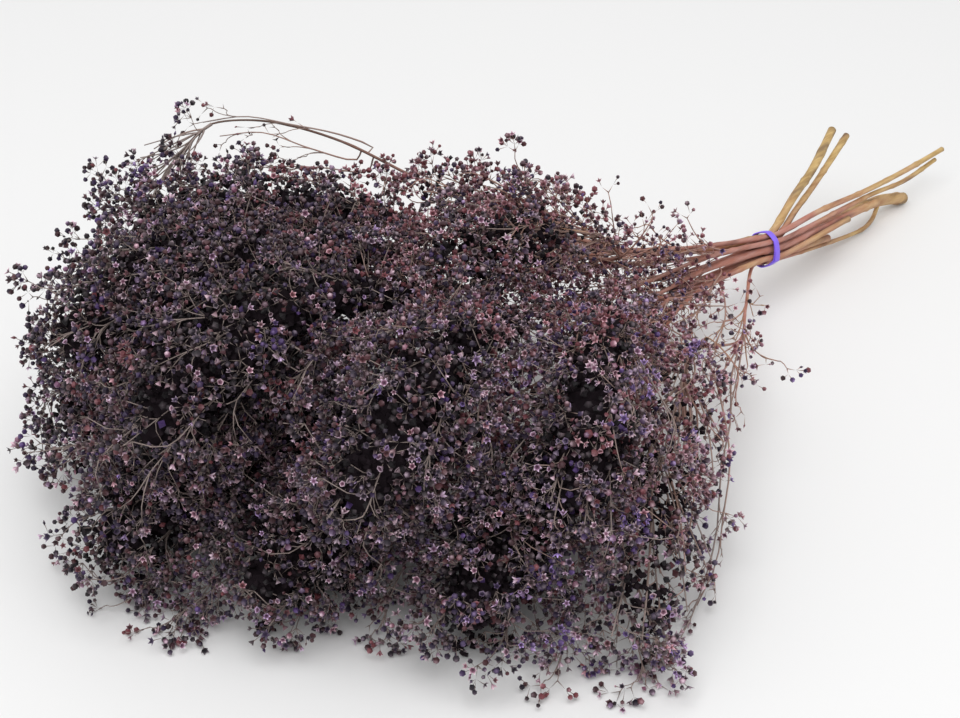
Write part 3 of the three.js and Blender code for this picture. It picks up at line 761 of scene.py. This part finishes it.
# How pale each point is: above 0 the lobes' tips, the notches between them and the capsules'
# shoulders, partly their own paler dye and partly painted highlight, and the closed pods' top points,
# a painted glint; below 0 the hollow inside an open pod, painted shade
rims = {kind: np.zeros(len(shape[0])) for kind, shape in podShapes.items()}
rims["calyx"][:10:2], rims["calyx"][1:10:2], rims["calyx"][-1] = 1.0, 0.25, -0.9
rims["capsule"][5:10], rims["capsule"][-1] = 0.12, 0.75
rims["star"][:10:2], rims["star"][1:10:2], rims["star"][-1] = 1.0, 0.2, -0.3
rims["cup"][:5], rims["cup"][-1] = 0.6, -0.8
# The plain pods' and buds' pale top points are painted glints, like the capsules'
rims["plain"][-1] = 0.35
rims["bud"][-1] = 0.8

# The dye: paler towards the stems and the near corner, with pink by the stems and violet in front;
# low down the tone is darkened as painted shade
dye = {
    "paleTowards": (0.731, -0.682), "paleOver": 300.0, "base": 0.20, "slope": 0.80,
    "patches": 0.20, "patchScale": 1.7, "patchPhase": 2.1, "scatter": 0.20,
    # Painted shade: the tone lowered towards the floor, under the given height
    "lowPaintedShade": 0.08, "lowUnder": 60.0,
    "violet": (0.02, 0.08), "violetFrom": 10.0, "violetOver": 170.0,
    "pink": (0.03, 0.34), "pinkFrom": -60.0, "pinkOver": 130.0,
    "strength": (0.2, 0.5), "hueScatter": 0.11,
    "moodShare": 0.90, "sparkle": 0.22, "sparklePower": 1.7, "sparkleFrom": 0.18,
}


def dyeTone(points, chance):
    # base + slope * way along the pale direction + patches, painted shade low down, with a little luck
    way = points[:, :2] @ np.array(dye["paleTowards"]) / dye["paleOver"]
    patches = slowWaves(points * dye["patchScale"], dye["patchPhase"])
    tone = dye["base"] + dye["slope"] * way + dye["patches"] * patches
    # Painted shade low down, under the mass
    tone -= dye["lowPaintedShade"] * np.clip(1 - points[:, 2] / dye["lowUnder"], 0, 1)
    return np.clip(tone + dye["scatter"] * chance.normal(0, 1, len(points)), 0, 1)


def dyeHue(points, chance):
    # 0 is pink, 0.5 neither and 1 violet: the chances grow from their first to their second share
    nearness = np.clip((-points[:, 1] - dye["violetFrom"]) / dye["violetOver"], 0, 1)
    stemward = np.clip((points[:, 0] - dye["pinkFrom"]) / dye["pinkOver"], 0, 1)
    violet = dye["violet"][0] + (dye["violet"][1] - dye["violet"][0]) * nearness
    pink = dye["pink"][0] + (dye["pink"][1] - dye["pink"][0]) * stemward
    luck, strength = chance.random(len(points)), chance.uniform(*dye["strength"], len(points))
    return 0.5 + strength * (luck < violet) - strength * (luck > 1 - pink)


def tilted(axes, tilt, turn):
    # Directions that lean from each axis by a tilt, at a turn about it
    across, up = squareTo(axes)
    lean = np.cos(turn)[..., None] * across + np.sin(turn)[..., None] * up
    return np.cos(tilt)[..., None] * axes + np.sin(tilt)[..., None] * lean


def spikes(start, end, radius):
    # Long three-sided points: from a place where they are fine to one where they have the radius
    axes = end - start
    long = np.linalg.norm(axes, axis=1)
    axes = axes / long[:, None]
    across, up = squareTo(axes)
    angle = np.arange(3) * 2 * np.pi / 3
    spokes = np.cos(angle)[:, None] * across[:, None] + np.sin(angle)[:, None] * up[:, None]
    points = np.concatenate([end[:, None] + radius * spokes, start[:, None]], 1)
    faces = np.array([[0, 1, 2], [1, 0, 3], [2, 1, 3], [0, 2, 3]])
    corners = np.array([[[0, 0], [0.3, 0], [0.1, 0.2]]] + [[[0.3, 0], [0.9, 0], [0.6, 1]]] * 3)
    return points, faces, corners


def addPods(piece, chance, spots, axes, depth, mood, hue, room):
    # Pods of each kind: fine ones where they show, plain ones deeper down, and plainer ones inside,
    # which are painted near black as shade.
    # The tone is most of the cluster's mood with a sparkle, which is seldom strong.
    sizes = chance.uniform(*clusters["podRadius"], len(spots))
    turns = chance.uniform(0, 2 * np.pi, len(spots))
    sparkle = chance.exponential(1.0, len(spots)) ** dye["sparklePower"]
    tone = np.clip(dye["moodShare"] * mood + dye["sparkle"] * sparkle - dye["sparkleFrom"], 0, 1)
    hue = np.where(np.isclose(hue, 0.5), dyeHue(spots, chance), hue)
    hue = np.clip(hue + dye["hueScatter"] * chance.normal(0, 1, len(spots)), 0, 1)
    luck = chance.random(len(spots))
    starred, opened = (least + more * tone for least, more in (podMix["starred"], podMix["opened"]))
    kind = np.select([luck < starred, luck < starred + opened, luck > 1 - podMix["buds"]],
                     ["star", "calyx", "bud"], "capsule")
    inner = np.where(np.isin(kind, ("star", "calyx")), "cup", "plain")
    kind = np.select([depth < levels["fine"], depth < levels["middle"]], [kind, inner], "deep")
    for name, shape in podShapes.items():
        chosen = kind == name
        if chosen.any():
            scale = sizes[chosen] * podMix["scale"].get(name, 1.0)
            made = copiesOf(shape, spots[chosen], axes[chosen], turns[chosen], scale)
            # The plainest, deepest pods take the near-black finish, a painted shade
            finish = innerShadeFace if name == "deep" else podFace
            piece.add(made, room * chosen.mean(), finish, tone[chosen], rims[name], hue[chosen])


def hiddenDepth(spots):
    # The depth below the skin, or for low places how far they lie under the rest
    raised = skinDepth(spots + [0, 0, levels["coverAbove"]])[0] - levels["coverEase"]
    covered = np.where(spots[:, 2] < levels["lowUnder"], raised, -np.inf)
    return np.maximum(skinDepth(spots)[0], covered)


def addClusters(piece, chance, node, heading, start, leave, room, kept=1.0, cymes=clusters["cymes"]):
    # Branchlets from the twigs to the nodes, and from each node short twigs with a few pods each.
    # kept is the share of the pods that stay, and room is the share of the piece's map.
    branchRoom, twigRoom, stalkRoom, podRoom = (room * share for share in clusters["mapShares"])
    count = len(node)
    forward, bow = clusters["branchBend"]
    length = np.linalg.norm(node - start, axis=1)[:, None]
    bend = start + leave * length * forward + chance.normal(0, bow, (count, 3)) * length
    branch = bentLines(start, bend, node, clusters["branchStations"])
    radii = np.linspace(*clusters["branchRadii"], clusters["branchStations"])
    tubes = tubesAlong(branch, radii, clusters["branchSides"])
    piece.add(tubes, branchRoom, twigFace, chance.random(count))

    mood, hue = dyeTone(node, chance), dyeHue(node, chance)
    turn = chance.uniform(0, 2 * np.pi, (count, 1)) + np.arange(cymes) * 2 * np.pi / cymes
    tilt = chance.uniform(*clusters["cymeTilt"], (count, cymes))
    cymeAxis = tilted(np.repeat(heading[:, None], cymes, 1), tilt, turn)
    cymeEnd = node[:, None] + cymeAxis * chance.uniform(*clusters["cyme"], (count, cymes, 1))
    foot = np.repeat(node[:, None], cymes, 1).reshape(-1, 3)
    short = spikes(cymeEnd.reshape(-1, 3), foot, clusters["cymeRadius"])
    piece.add(short, twigRoom, twigFace, chance.random(count * cymes))

    podTilts = np.array(clusters["podTilts"])
    pods = len(podTilts)
    turn = chance.uniform(0, 2 * np.pi, (count, cymes, 1)) + np.arange(pods) * 2 * np.pi / (pods - 1)
    tilt = podTilts + chance.normal(0, clusters["podTiltScatter"], (count, cymes, pods))
    podAxis = tilted(np.repeat(cymeAxis[:, :, None], pods, 2), tilt, turn)
    long = chance.uniform(*clusters["pedicel"], (count, cymes, pods, 1))
    pod = notBelow((cymeEnd[:, :, None] + podAxis * long).reshape(-1, 3), clusters["lowestPod"])
    podAxis = podAxis.reshape(-1, 3)
    foot = np.repeat(cymeEnd[:, :, None], pods, 2).reshape(-1, 3)
    mood, hue = (np.repeat(value, cymes * pods) for value in (mood, hue))
    edge = bunch["roomOutsideBox"]
    shown = chance.random(len(pod)) > 1 - kept * (1 - clusters["dropped"])
    shown &= ((pod > lowestSpot - edge) & (pod < highestSpot + edge)).all(1)
    pod, podAxis, foot, mood, hue = (value[shown] for value in (pod, podAxis, foot, mood, hue))
    depth = hiddenDepth(pod)
    stalked = depth < levels["middle"]
    stalkEnd = pod - podAxis * clusters["intoPod"]
    stalks = spikes(foot[stalked], stalkEnd[stalked], clusters["pedicelRadius"])
    piece.add(stalks, stalkRoom, twigFace, chance.random(stalked.sum()))
    axes = unit(podAxis + chance.normal(0, clusters["podTurn"], pod.shape))
    addPods(piece, chance, pod, axes, depth, mood, hue, podRoom)


def jitteredGrid(chance, pitch):
    # A grid of places that fills the bunch's box, each moved about in its own cell
    counts = np.ceil((highestSpot - lowestSpot) / pitch).astype(int)
    cells = np.stack(np.meshgrid(*[np.arange(count) for count in counts], indexing="ij"), -1).reshape(-1, 3)
    jitter = chance.uniform(-clusters["jitter"], clusters["jitter"], cells.shape)
    return lowestSpot + (cells + 0.5 + jitter) * pitch


def keptShare(values, owner):
    # The share of its copies that each place's spray keeps
    return np.array([values["loose"].get(name, 1.0) for name in sprays])[owner]


def placeClusters():
    # Nodes all through the shell below the skin, with the spray that each belongs to
    chance = np.random.default_rng(bunch["seed"])
    spots = jitteredGrid(chance, clusters["pitch"])
    depth, owner = skinDepth(spots)
    kept = (depth > 0) & (depth < clusters["shell"]) & (spots[:, 2] > clusters["lowest"])
    bare = np.clip((spots[:, 0] - clusters["thinFrom"]) / (clusters["thinTo"] - clusters["thinFrom"]), 0, 1)
    share = keptShare(clusters, owner) * (1 - clusters["thinning"] * bare)
    kept &= chance.random(len(spots)) < share
    spots, depth, owner = spots[kept], depth[kept], owner[kept]
    outward = outwardAt(spots)
    sprig = (chance.random(len(spots)) < clusters["sprigs"]) & (depth < clusters["sprigDepth"])
    reach = np.where(sprig, chance.uniform(*clusters["sprigReach"], len(spots)), 0)[:, None]
    return notBelow(spots + reach * outward, clusters["lowest"]), outward, owner


def placeFillers():
    # Places for single pods further in, fewer in the loose sprays and towards the stems
    placeSeed, choiceSeed = fillers["seeds"]
    spots = jitteredGrid(np.random.default_rng(placeSeed), fillers["pitch"])
    depth, owner = skinDepth(spots)
    fade = 1 - (spots[:, 0] - fillers["fadeFrom"]) / fillers["fadeOver"]
    share = keptShare(fillers, owner) * np.clip(fade, fillers["leastShare"], 1)
    luck = np.random.default_rng(choiceSeed).random(len(spots))
    kept = (depth >= fillers["from"]) & (depth <= fillers["to"]) & (spots[:, 2] >= clusters["lowest"])
    kept &= luck <= share
    return spots[kept], depth[kept], owner[kept]


clusterSpots, clusterOutward, clusterOwner = placeClusters()
fillerSpots, fillerDepth, fillerOwner = placeFillers()
print("places for", len(clusterSpots), "clusters and", len(fillerSpots), "inner pods")

# Painted shade: the core is a near-black mass where the pods lie deepest
core = {
    "share": 0.24,  # of the spray's width
    "from": 0.12, "to": 0.92, "ends": (0.10, 0.94),  # along the spray
    "pitch": 7.0, "rise": (1.5, 5.0), "wobble": 0.10, "lowest": 3.0, "tone": 0.0,
    "leastHalf": 41,  # a slimmer spray has no core
}


def addCore(piece, chance, spray):
    # The dark mass of pods inside, painted near black as shade: a grid of cells round the middle line,
    # each raised to a point
    rows = round(lengthOf(onAxis(spray, axisShares)[0]) / core["pitch"])
    columns = round(np.pi * sum(spray["half"]) * core["share"] / core["pitch"])
    row, column = np.meshgrid(np.arange(rows + 1), np.arange(columns), indexing="ij")
    share = np.linspace(core["from"], core["to"], rows + 1)[row.ravel()]
    angle = (column + row / 2).ravel() * 2 * np.pi / columns
    out = core["share"] * (1 + core["wobble"] * chance.normal(0, 1, share.size))
    grid = notBelow(inSpray(spray, share, angle, out), core["lowest"]).reshape(rows + 1, columns, 3)
    low, high = grid[:-1], grid[1:]
    cell = np.stack([low, np.roll(low, -1, 1), np.roll(high, -1, 1), high], 2).reshape(-1, 4, 3)
    outward = unit(np.cross(cell[:, 3] - cell[:, 1], cell[:, 2] - cell[:, 0]))
    crown = cell.mean(1) + outward * chance.uniform(*core["rise"], (len(cell), 1))
    number = np.arange((rows + 1) * columns).reshape(rows + 1, columns)
    below, above = number[:-1], number[1:]
    four = np.stack([below, np.roll(below, -1, 1), np.roll(above, -1, 1), above], 2).reshape(-1, 4)
    peak = number.size + np.arange(len(cell))
    faces = np.stack([np.stack([four[:, (side + 1) % 4], four[:, side], peak], 1) for side in range(4)], 1)
    ends = onAxis(spray, np.array(core["ends"]))[0]
    firstEnd, lastEnd = peak[-1] + 1, peak[-1] + 2
    start = np.stack([number[0], np.roll(number[0], -1), np.full(columns, firstEnd)], 1)
    stop = np.stack([np.roll(number[-1], -1), number[-1], np.full(columns, lastEnd)], 1)
    points = np.vstack([grid.reshape(-1, 3), crown, ends])
    faces = np.vstack([faces.reshape(-1, 3), start, stop])
    number = np.repeat(np.arange(len(faces))[:, None], 3, 1)
    across = math.ceil(math.sqrt(len(faces)))
    cornersInCell = np.array([[0.1, 0.1], [0.8, 0.1], [0.4, 0.8]])
    places = (np.stack([number % across, number // across], 2) + cornersInCell) / across
    piece.add((points[None], faces, places), mapRoom["core"], innerShadeFace, core["tone"])


def makeLimbs(chance, spray):
    # Branches that leave the spray's line and run along it, each out to its own place below the skin
    count = limbs["count"]
    leave = chance.uniform(*limbs["leaves"], count)
    arrive = np.minimum(leave + chance.uniform(*limbs["runs"], count), limbs["latest"])
    angle = limbs["turn"] * np.arange(count) + chance.uniform(0, limbs["turnScatter"], count)
    end = notBelow(inSpray(spray, arrive, angle, chance.uniform(*limbs["ends"], count)), limbs["lowest"])
    middle = onAxis(spray, (leave + arrive) / 2)[0] + limbs["pull"] * (end - onAxis(spray, arrive)[0])
    middle += chance.normal(0, limbs["scatter"], middle.shape)
    return bentLines(onAxis(spray, leave)[0], middle, end, limbs["stations"])


def growFrom(lines, node, heading):
    # The place on the lines that each node grows from: near it, and behind it along its heading
    spots = lines[:, 1:].reshape(-1, 3)
    leave = unit(np.gradient(lines, axis=1))[:, 1:].reshape(-1, 3)
    gap = node[:, None] - spots[None]
    ahead = (gap * heading[:, None]).sum(2)
    cost = np.linalg.norm(gap, axis=2) + limbs["behindCost"] * np.maximum(limbs["behind"] - ahead, 0)
    best = cost.argmin(1)
    return spots[best], leave[best]


def addFillers(piece, chance, number):
    # Single pods further in: plain ones behind the clusters, their tone lowered as painted shade, and
    # near-black ones behind those, also painted shade
    mine = fillerOwner == number
    outer = mine & (fillerDepth < fillers["plainTo"])
    for kind, chosen, finish in (("plain", outer, podFace), ("deep", mine & ~outer, innerShadeFace)):
        spots, count = fillerSpots[chosen], chosen.sum()
        made = copiesOf(podShapes[kind], spots, unit(chance.normal(0, 1, (count, 3))),
                        chance.uniform(*fillers["turn"], count), chance.uniform(*fillers["radius"], count))
        # Painted shade: the plain inner pods' tone lowered
        tone = fillers["shadeDim"] * dyeTone(spots, chance)
        piece.add(made, mapRoom["fillers"], finish, tone, rims[kind], dyeHue(spots, chance))


def makeSpray(number, name, spray):
    # A spray's core, middle line, limbs, inner pods and clusters, as one piece
    chance = np.random.default_rng(bunch["spraySeed"] + number)
    piece = Piece("bloom_" + name)
    if spray["half"][0] > core["leastHalf"]:
        addCore(piece, chance, spray)
    line = onAxis(spray, np.linspace(0, limbs["mainTo"], limbs["mainStations"]))[0][None]
    radii = np.linspace(*limbs["mainRadii"], limbs["mainStations"])
    piece.add(tubesAlong(line, radii, limbs["mainSides"]), mapRoom["line"], twigFace)
    lines = makeLimbs(chance, spray)
    radii = np.linspace(*limbs["radii"], limbs["stations"])
    tubes = tubesAlong(lines, radii, limbs["sides"])
    piece.add(tubes, mapRoom["limbs"], twigFace, chance.random(len(lines)))
    addFillers(piece, chance, number)
    mine = clusterOwner == number
    node, outward = clusterSpots[mine], clusterOutward[mine]
    nearest = ((node[:, None] - onAxis(spray, axisShares)[0][None]) ** 2).sum(2).argmin(1)
    heading = onAxis(spray, axisShares[nearest])[1]
    out, onward, scatter = clusters["facing"]
    facing = unit(outward * out + heading * onward + chance.normal(0, scatter, node.shape))
    start, leave = growFrom(lines, node, heading)
    addClusters(piece, chance, node, facing, start, leave, mapRoom["clusters"])
    return buildBloom(piece, ["spray_" + name])


total = 0
for number, (name, spray) in enumerate(sprays.items()):
    faces = makeSpray(number, name, spray)
    total += faces
    print("spray", name, faces, "faces")
print("sprays made", total)


# Twigs that leave the stems in the neck, between the band and the sprays
neck = {
    "seed": 77,
    "twigs": 190, "between": (88.0, 186.0), "lean": (0.05, 0.42), "lowest": 5.0,
    "length": (30.0, 82.0), "shortFrom": 40.0, "shortOver": 110.0, "shortest": 0.35,  # shorter inward
    "stations": 8, "sides": 4, "bend": 0.5, "radii": (0.62, 0.28),
    "nodes": (0.5, 0.72, 0.94), "sideTilt": (0.3, 0.9), "sideReach": (3.0, 9.0), "lowestNode": 3.0,
    "cymes": 2, "kept": 0.42,
    "mapShares": (0.25, 0.24),  # of the twigs, and of each set of clusters on them
}


def makeNeck():
    # Each twig leaves a stem at a place between the limits and leans out from it as it goes
    chance = np.random.default_rng(neck["seed"])
    low, high = neck["between"]
    spots, leaves = [], []
    for _, line, _, _ in barks:
        inside = (line[:, 0] > low) & (line[:, 0] < high)
        spots.append(line[inside])
        leaves.append(unit(np.gradient(line, axis=0))[inside])
    spots, leaves = np.vstack(spots), np.vstack(leaves)
    count, stations = neck["twigs"], neck["stations"]
    chosen = chance.integers(0, len(spots), count)
    start, leave = spots[chosen], leaves[chosen]
    length = chance.uniform(*neck["length"], (count, 1))
    length *= np.clip((start[:, :1] - neck["shortFrom"]) / neck["shortOver"], neck["shortest"], 1)
    out = tilted(leave, chance.uniform(*neck["lean"], count), chance.uniform(0, 2 * np.pi, count))
    end = notBelow(start + out * length, neck["lowest"])
    lines = bentLines(start, start + leave * length * neck["bend"], end, stations)
    piece = Piece("neck_twigs")
    twigRoom, clusterRoom = neck["mapShares"]
    radii = np.linspace(*neck["radii"], stations)
    piece.add(tubesAlong(lines, radii, neck["sides"]), twigRoom, twigFace, chance.random(count))
    for share in neck["nodes"]:
        station = round(share * (stations - 1))
        foot, along = lines[:, station], unit(lines[:, station] - lines[:, station - 1])
        side = tilted(along, chance.uniform(*neck["sideTilt"], count), chance.uniform(0, 2 * np.pi, count))
        node = notBelow(foot + side * chance.uniform(*neck["sideReach"], (count, 1)), neck["lowestNode"])
        addClusters(piece, chance, node, side, foot, along, clusterRoom, neck["kept"], neck["cymes"])
    return buildBloom(piece)


total += makeNeck()
print("neck made", total)

# Loose twigs that stand clear of the mass: over the arch, down the right to the floor, the
# tufts at the edges in front and on the left, and two in the neck. Each has side twigs, which reach
# out by a length and keep a share of their pods. Each starts at the nearest stem, save in the tufts.
looseTwigs = {
    "over": {
        "sides": 6, "reach": (6.0, 16.0), "kept": 0.22, "spread": (0.2, 0.6), "tuft": False,
        "routes": [
            [(38, 121, 112), (23, 129, 122), (4, 143, 129), (-10, 163, 131), (-22, 184, 124)],
            [(32, 129, 104), (14, 143, 112), (0, 164, 118), (-14, 182, 114)],
            [(39, 130, 94), (22, 142, 98), (4, 156, 100), (-12, 171, 98)],
        ],
    },
    "down": {
        "sides": 8, "reach": (5.0, 13.0), "kept": 0.34, "spread": (0.2, 0.7), "tuft": False,
        "routes": [
            [(127, -55, 36), (96, -76, 40), (78, -92, 36), (56, -106, 24), (29, -127, 12), (-13, -150, 6),
             (-40, -160, 4)],
            [(88, -66, 52), (74, -88, 46), (59, -108, 30), (37, -124, 18), (15, -139, 12), (-5, -146, 4)],
            [(56, -84, 56), (43, -101, 40), (20, -119, 22), (-3, -134, 10)],
            [(104, -52, 50), (93, -82, 50), (82, -90, 44)],
        ],
    },
    "tufts": {
        "sides": 12, "reach": (4.0, 14.0), "kept": 0.85, "spread": (0.3, 0.95), "tuft": True,
        "routes": [
            [(-134, -6, 24), (-166, 0, 12), (-184, 4, 4)],
            [(-134, 4, 24), (-164, 2, 12), (-175, 0, 4)],
            [(-150, 20, 26), (-178, 24, 12), (-190, 26, 6)],
            [(-80, -46, 26), (-108, -58, 14), (-118, -63, 5)],
            [(-46, -104, 24), (-68, -126, 12), (-79, -132, 4)],
            [(-36, -128, 24), (-48, -150, 10), (-54, -160, 4)],
            [(-30, -132, 22), (-37, -150, 10), (-43, -159, 4)],
            [(-156, 44, 60), (-178, 62, 68), (-188, 70, 66)],
            [(-120, 92, 98), (-142, 108, 106), (-151, 113, 106)],
            [(-140, 92, 80), (-158, 106, 86), (-168, 112, 86)],
            [(-106, 104, 104), (-126, 122, 112), (-134, 130, 112)],
            [(-74, 134, 104), (-88, 154, 116), (-94, 162, 118)],
        ],
    },
    "neck": {
        "sides": 9, "reach": (5.0, 16.0), "kept": 0.55, "spread": (0.3, 0.9), "tuft": False,
        "routes": [
            [(166, -10, 44), (146, -22, 50), (124, -34, 54), (104, -42, 56)],
            [(160, -14, 40), (140, -34, 48), (118, -52, 52), (98, -62, 52)],
        ],
    },
}
loose = {
    "seed": 143,
    "stations": 16, "tubeSides": 4, "radii": (0.55, 0.28),
    "bareStations": 5,  # the first side twig stands past these
    "finerStations": 6, "finerTubeSides": 3, "finerRadii": (0.34, 0.22), "finerBend": (6.0, 0.3),
    "lowest": 3.0,
    "cymes": 2, "onward": 3.0,  # how far past a side twig's tip its node lies
    "mapShares": (0.03, 0.07, 0.22),  # of each group's twigs, side twigs and clusters
}


def nearestBark(spot):
    # The place on any stem that is nearest to a spot
    lines = np.vstack([line for _, line, _, _ in barks])
    return lines[np.linalg.norm(lines - spot, axis=1).argmin()]


def makeLooseTwigs():
    # Each group's twigs, with finer ones that branch off them and end in pods
    chance = np.random.default_rng(loose["seed"])
    piece = Piece("loose_twigs")
    twigRoom, finerRoom, clusterRoom = loose["mapShares"]
    stations, finerStations = loose["stations"], loose["finerStations"]
    onward, pull = loose["finerBend"]
    for group in looseTwigs.values():
        routes = group["routes"]
        if not group["tuft"]:
            routes = [[nearestBark(route[0]), *route] for route in routes]
        lines = np.array([curveThrough(route, stations) for route in routes])
        radii = np.linspace(*loose["radii"], stations)
        tubes = tubesAlong(lines, radii, loose["tubeSides"])
        piece.add(tubes, twigRoom, twigFace, chance.random(len(lines)))
        count = len(lines) * group["sides"]
        which = np.arange(count) % len(lines)
        station = chance.integers(loose["bareStations"], stations - 1, count)
        foot = lines[which, station]
        along = unit(lines[which, station + 1] - lines[which, station - 1])
        side = tilted(along, chance.uniform(*group["spread"], count), chance.uniform(0, 2 * np.pi, count))
        tip = notBelow(foot + side * chance.uniform(*group["reach"], (count, 1)), loose["lowest"])
        finer = bentLines(foot, foot + along * onward + (tip - foot) * pull, tip, finerStations)
        radii = np.linspace(*loose["finerRadii"], finerStations)
        tubes = tubesAlong(finer, radii, loose["finerTubeSides"])
        piece.add(tubes, finerRoom, twigFace, chance.random(count))
        node = tip + side * loose["onward"]
        addClusters(piece, chance, node, side, tip, side, clusterRoom, group["kept"], loose["cymes"])
    return buildBloom(piece)


total += makeLooseTwigs()
print("loose twigs made", total)


# The bark: knots stand a little proud at a regular pitch, and the girth is slightly uneven
bark = {
    "sides": 14,
    "uneven": 0.05, "waves": (9.0, 23.0), "phase": (0.0, 6.0),
    "knotPitch": 34.0, "knotRise": 0.20, "knotSharpness": 60,
}


def makeStem(number, name):
    # radius * (1 + small waves + a rise at each knot), carried along each line of the stem
    chance = np.random.default_rng(bunch["stemSeed"] + number)
    piece = Piece("wood_" + name.removeprefix("stem_"))
    mine = [parts for parts in barks if parts[0] == name]
    quick, slow = bark["waves"]
    for _, line, places, sizes in mine:
        along = np.linspace(0, 1, len(line))
        length = lengthOf(line)
        phase = chance.uniform(*bark["phase"])
        waves = np.sin(along * length / quick + phase) * np.sin(along * length / slow)
        knots = np.abs(np.cos(np.pi * along * length / bark["knotPitch"] + phase)) ** bark["knotSharpness"]
        girth = np.interp(along, places, sizes) * (1 + bark["uneven"] * waves + bark["knotRise"] * knots)
        piece.add(tubesAlong(line[None], girth, bark["sides"]), 1 / len(mine), tone=chance.random(1))
    return piece.build([stemPaint], "stem", [name])


for number, name in enumerate(stems):
    total += makeStem(number, name)
print("stems made", total)


# The band: one long ring that goes round the stems twice and crosses over itself below
band = {
    "turns": 2, "apart": 0.5, "width": 4.2, "thickness": 1.0, "grip": 0.35,
    "stations": 160, "sides": 12, "corners": (0.6, 0.8),
    "aims": 720, "rounding": 24,  # the directions in which the stems' reach is taken, and averaged
    "crossing": 0.55,  # half the angle over which one turn rises over the other
}


def roundedWave(wave, power):
    # sign(wave) * |wave| ^ power, which fills out a round section's corners
    return np.sign(wave) * np.abs(wave) ** power


def makeBand():
    # A rounded flat section carried along the outline round the stems: the furthest reach of any
    # stem in each direction, averaged over a few degrees, with the turns side by side at along =
    # apart * cos(half the angle)
    held = [(*stem["held"], stem["radii"][1]) for stem in stems.values()]
    held = np.array(held + [(*sideShoot["held"], sideShoot["radii"][0])])
    aims = np.linspace(0, 2 * np.pi, band["aims"], endpoint=False)
    aim = np.stack([np.cos(aims), np.sin(aims)], 1)
    reach = (held[:, :2] @ aim.T + held[:, 2:]).max(0) + band["grip"] + band["thickness"] / 2
    reach = np.mean([np.roll(reach, step) for step in range(-band["rounding"], band["rounding"] + 1)], 0)
    slope = np.gradient(reach, aims[1])
    outline = aim * reach[:, None] + np.stack([-aim[:, 1], aim[:, 0]], 1) * slope[:, None]
    turn = np.linspace(0, 2 * np.pi * band["turns"], band["stations"], endpoint=False)
    at = turn % (2 * np.pi)
    middle = np.stack([np.interp(at, aims, outline[:, axis], period=2 * np.pi) for axis in (0, 1)], 1)
    out = np.stack([np.cos(at), np.sin(at)], 1)
    over = band["thickness"] * np.exp(-((turn - 3 * np.pi) / band["crossing"]) ** 2)
    middle = middle + over[:, None] * out
    along = band["apart"] * np.cos(turn / 2)
    angle = np.arange(band["sides"]) * 2 * np.pi / band["sides"]
    widePower, thickPower = band["corners"]
    wide = roundedWave(np.cos(angle), widePower) * band["width"] / 2
    thick = roundedWave(np.sin(angle), thickPower) * band["thickness"] / 2
    across, up = (middle[:, None, axis] + out[:, None, axis] * thick for axis in (0, 1))
    points = (np.array(bundle["centre"]) + across[..., None] * np.array([0, 1, 0])
              + up[..., None] * bundleUp + (along[:, None] + wide)[..., None] * bundleAxis)
    faces, corners = loftFaces(band["stations"], band["sides"], closed=True)
    piece = Piece("band_turns")
    piece.add((points.reshape(1, -1, 3), faces, corners), 1.0)
    return piece.build([bandPaint], "band", ["rubber_band"])


total += makeBand()
print("band made, faces in all", total)


# Floor, light and camera
stage = {
    "lookAt": (0, 0, 60), "distance": 825.0, "elevation": 35.0, "aim": (0.682, 0.731),
    "lens": 65.0, "sensor": 36.0, "clip": (0.05, 50.0),
    "floorColour": (0.81, 0.81, 0.81), "floorRoughness": 0.55, "floorHalf": 12.0,
    "sky": (1.0, 1.0, 1.0), "skyStrength": 0.70,
    "keyPower": 32.0, "keySize": 2.0, "keyPlace": (-0.60, -0.40, 2.05),
}


def turnTo(direction):
    # The turn of a lamp or a camera that looks along a direction, with its top up
    return Vector(direction).to_track_quat("-Z", "Y").to_euler()


def makeStage():
    # A square floor, an even sky and one broad lamp that faces the middle of the floor
    mesh = bpy.data.meshes.new("floor")
    half = stage["floorHalf"]
    corners = [(-half, -half, 0), (half, -half, 0), (half, half, 0), (-half, half, 0)]
    mesh.from_pydata(corners, [], [(0, 1, 2, 3)])
    paint = Paint("pale_floor")
    mesh.materials.append(paint.set(Base_Color=stage["floorColour"], Roughness=stage["floorRoughness"]))
    addToScene("floor", mesh)
    world = bpy.data.worlds.new("studio")
    world.use_nodes = True
    sky = world.node_tree.nodes["Background"]
    sky.inputs["Color"].default_value = (*stage["sky"], 1)
    sky.inputs["Strength"].default_value = stage["skyStrength"]
    bpy.context.scene.world = world
    lamp = bpy.data.lights.new("key", "AREA")
    lamp.energy, lamp.size = stage["keyPower"], stage["keySize"]
    key = addToScene("key", lamp)
    key.location = stage["keyPlace"]
    key.rotation_euler = turnTo(-key.location)


def makeCamera():
    # It looks along the aim, tilted down by the elevation, at a place in the middle of the bunch
    tilt = math.radians(stage["elevation"])
    look = unit(np.array([*(np.array(stage["aim"]) * math.cos(tilt)), -math.sin(tilt)]))
    camera = bpy.data.cameras.new("camera")
    camera.lens, camera.sensor_width = stage["lens"], stage["sensor"]
    camera.clip_start, camera.clip_end = stage["clip"]
    holder = addToScene("camera", camera)
    holder.location = toMetres(np.array(stage["lookAt"]) - look * stage["distance"])
    holder.rotation_euler = turnTo(look)
    bpy.context.scene.camera = holder


makeStage()
makeCamera()
bpy.context.scene.view_settings.view_transform = "Standard"
print("stage set")
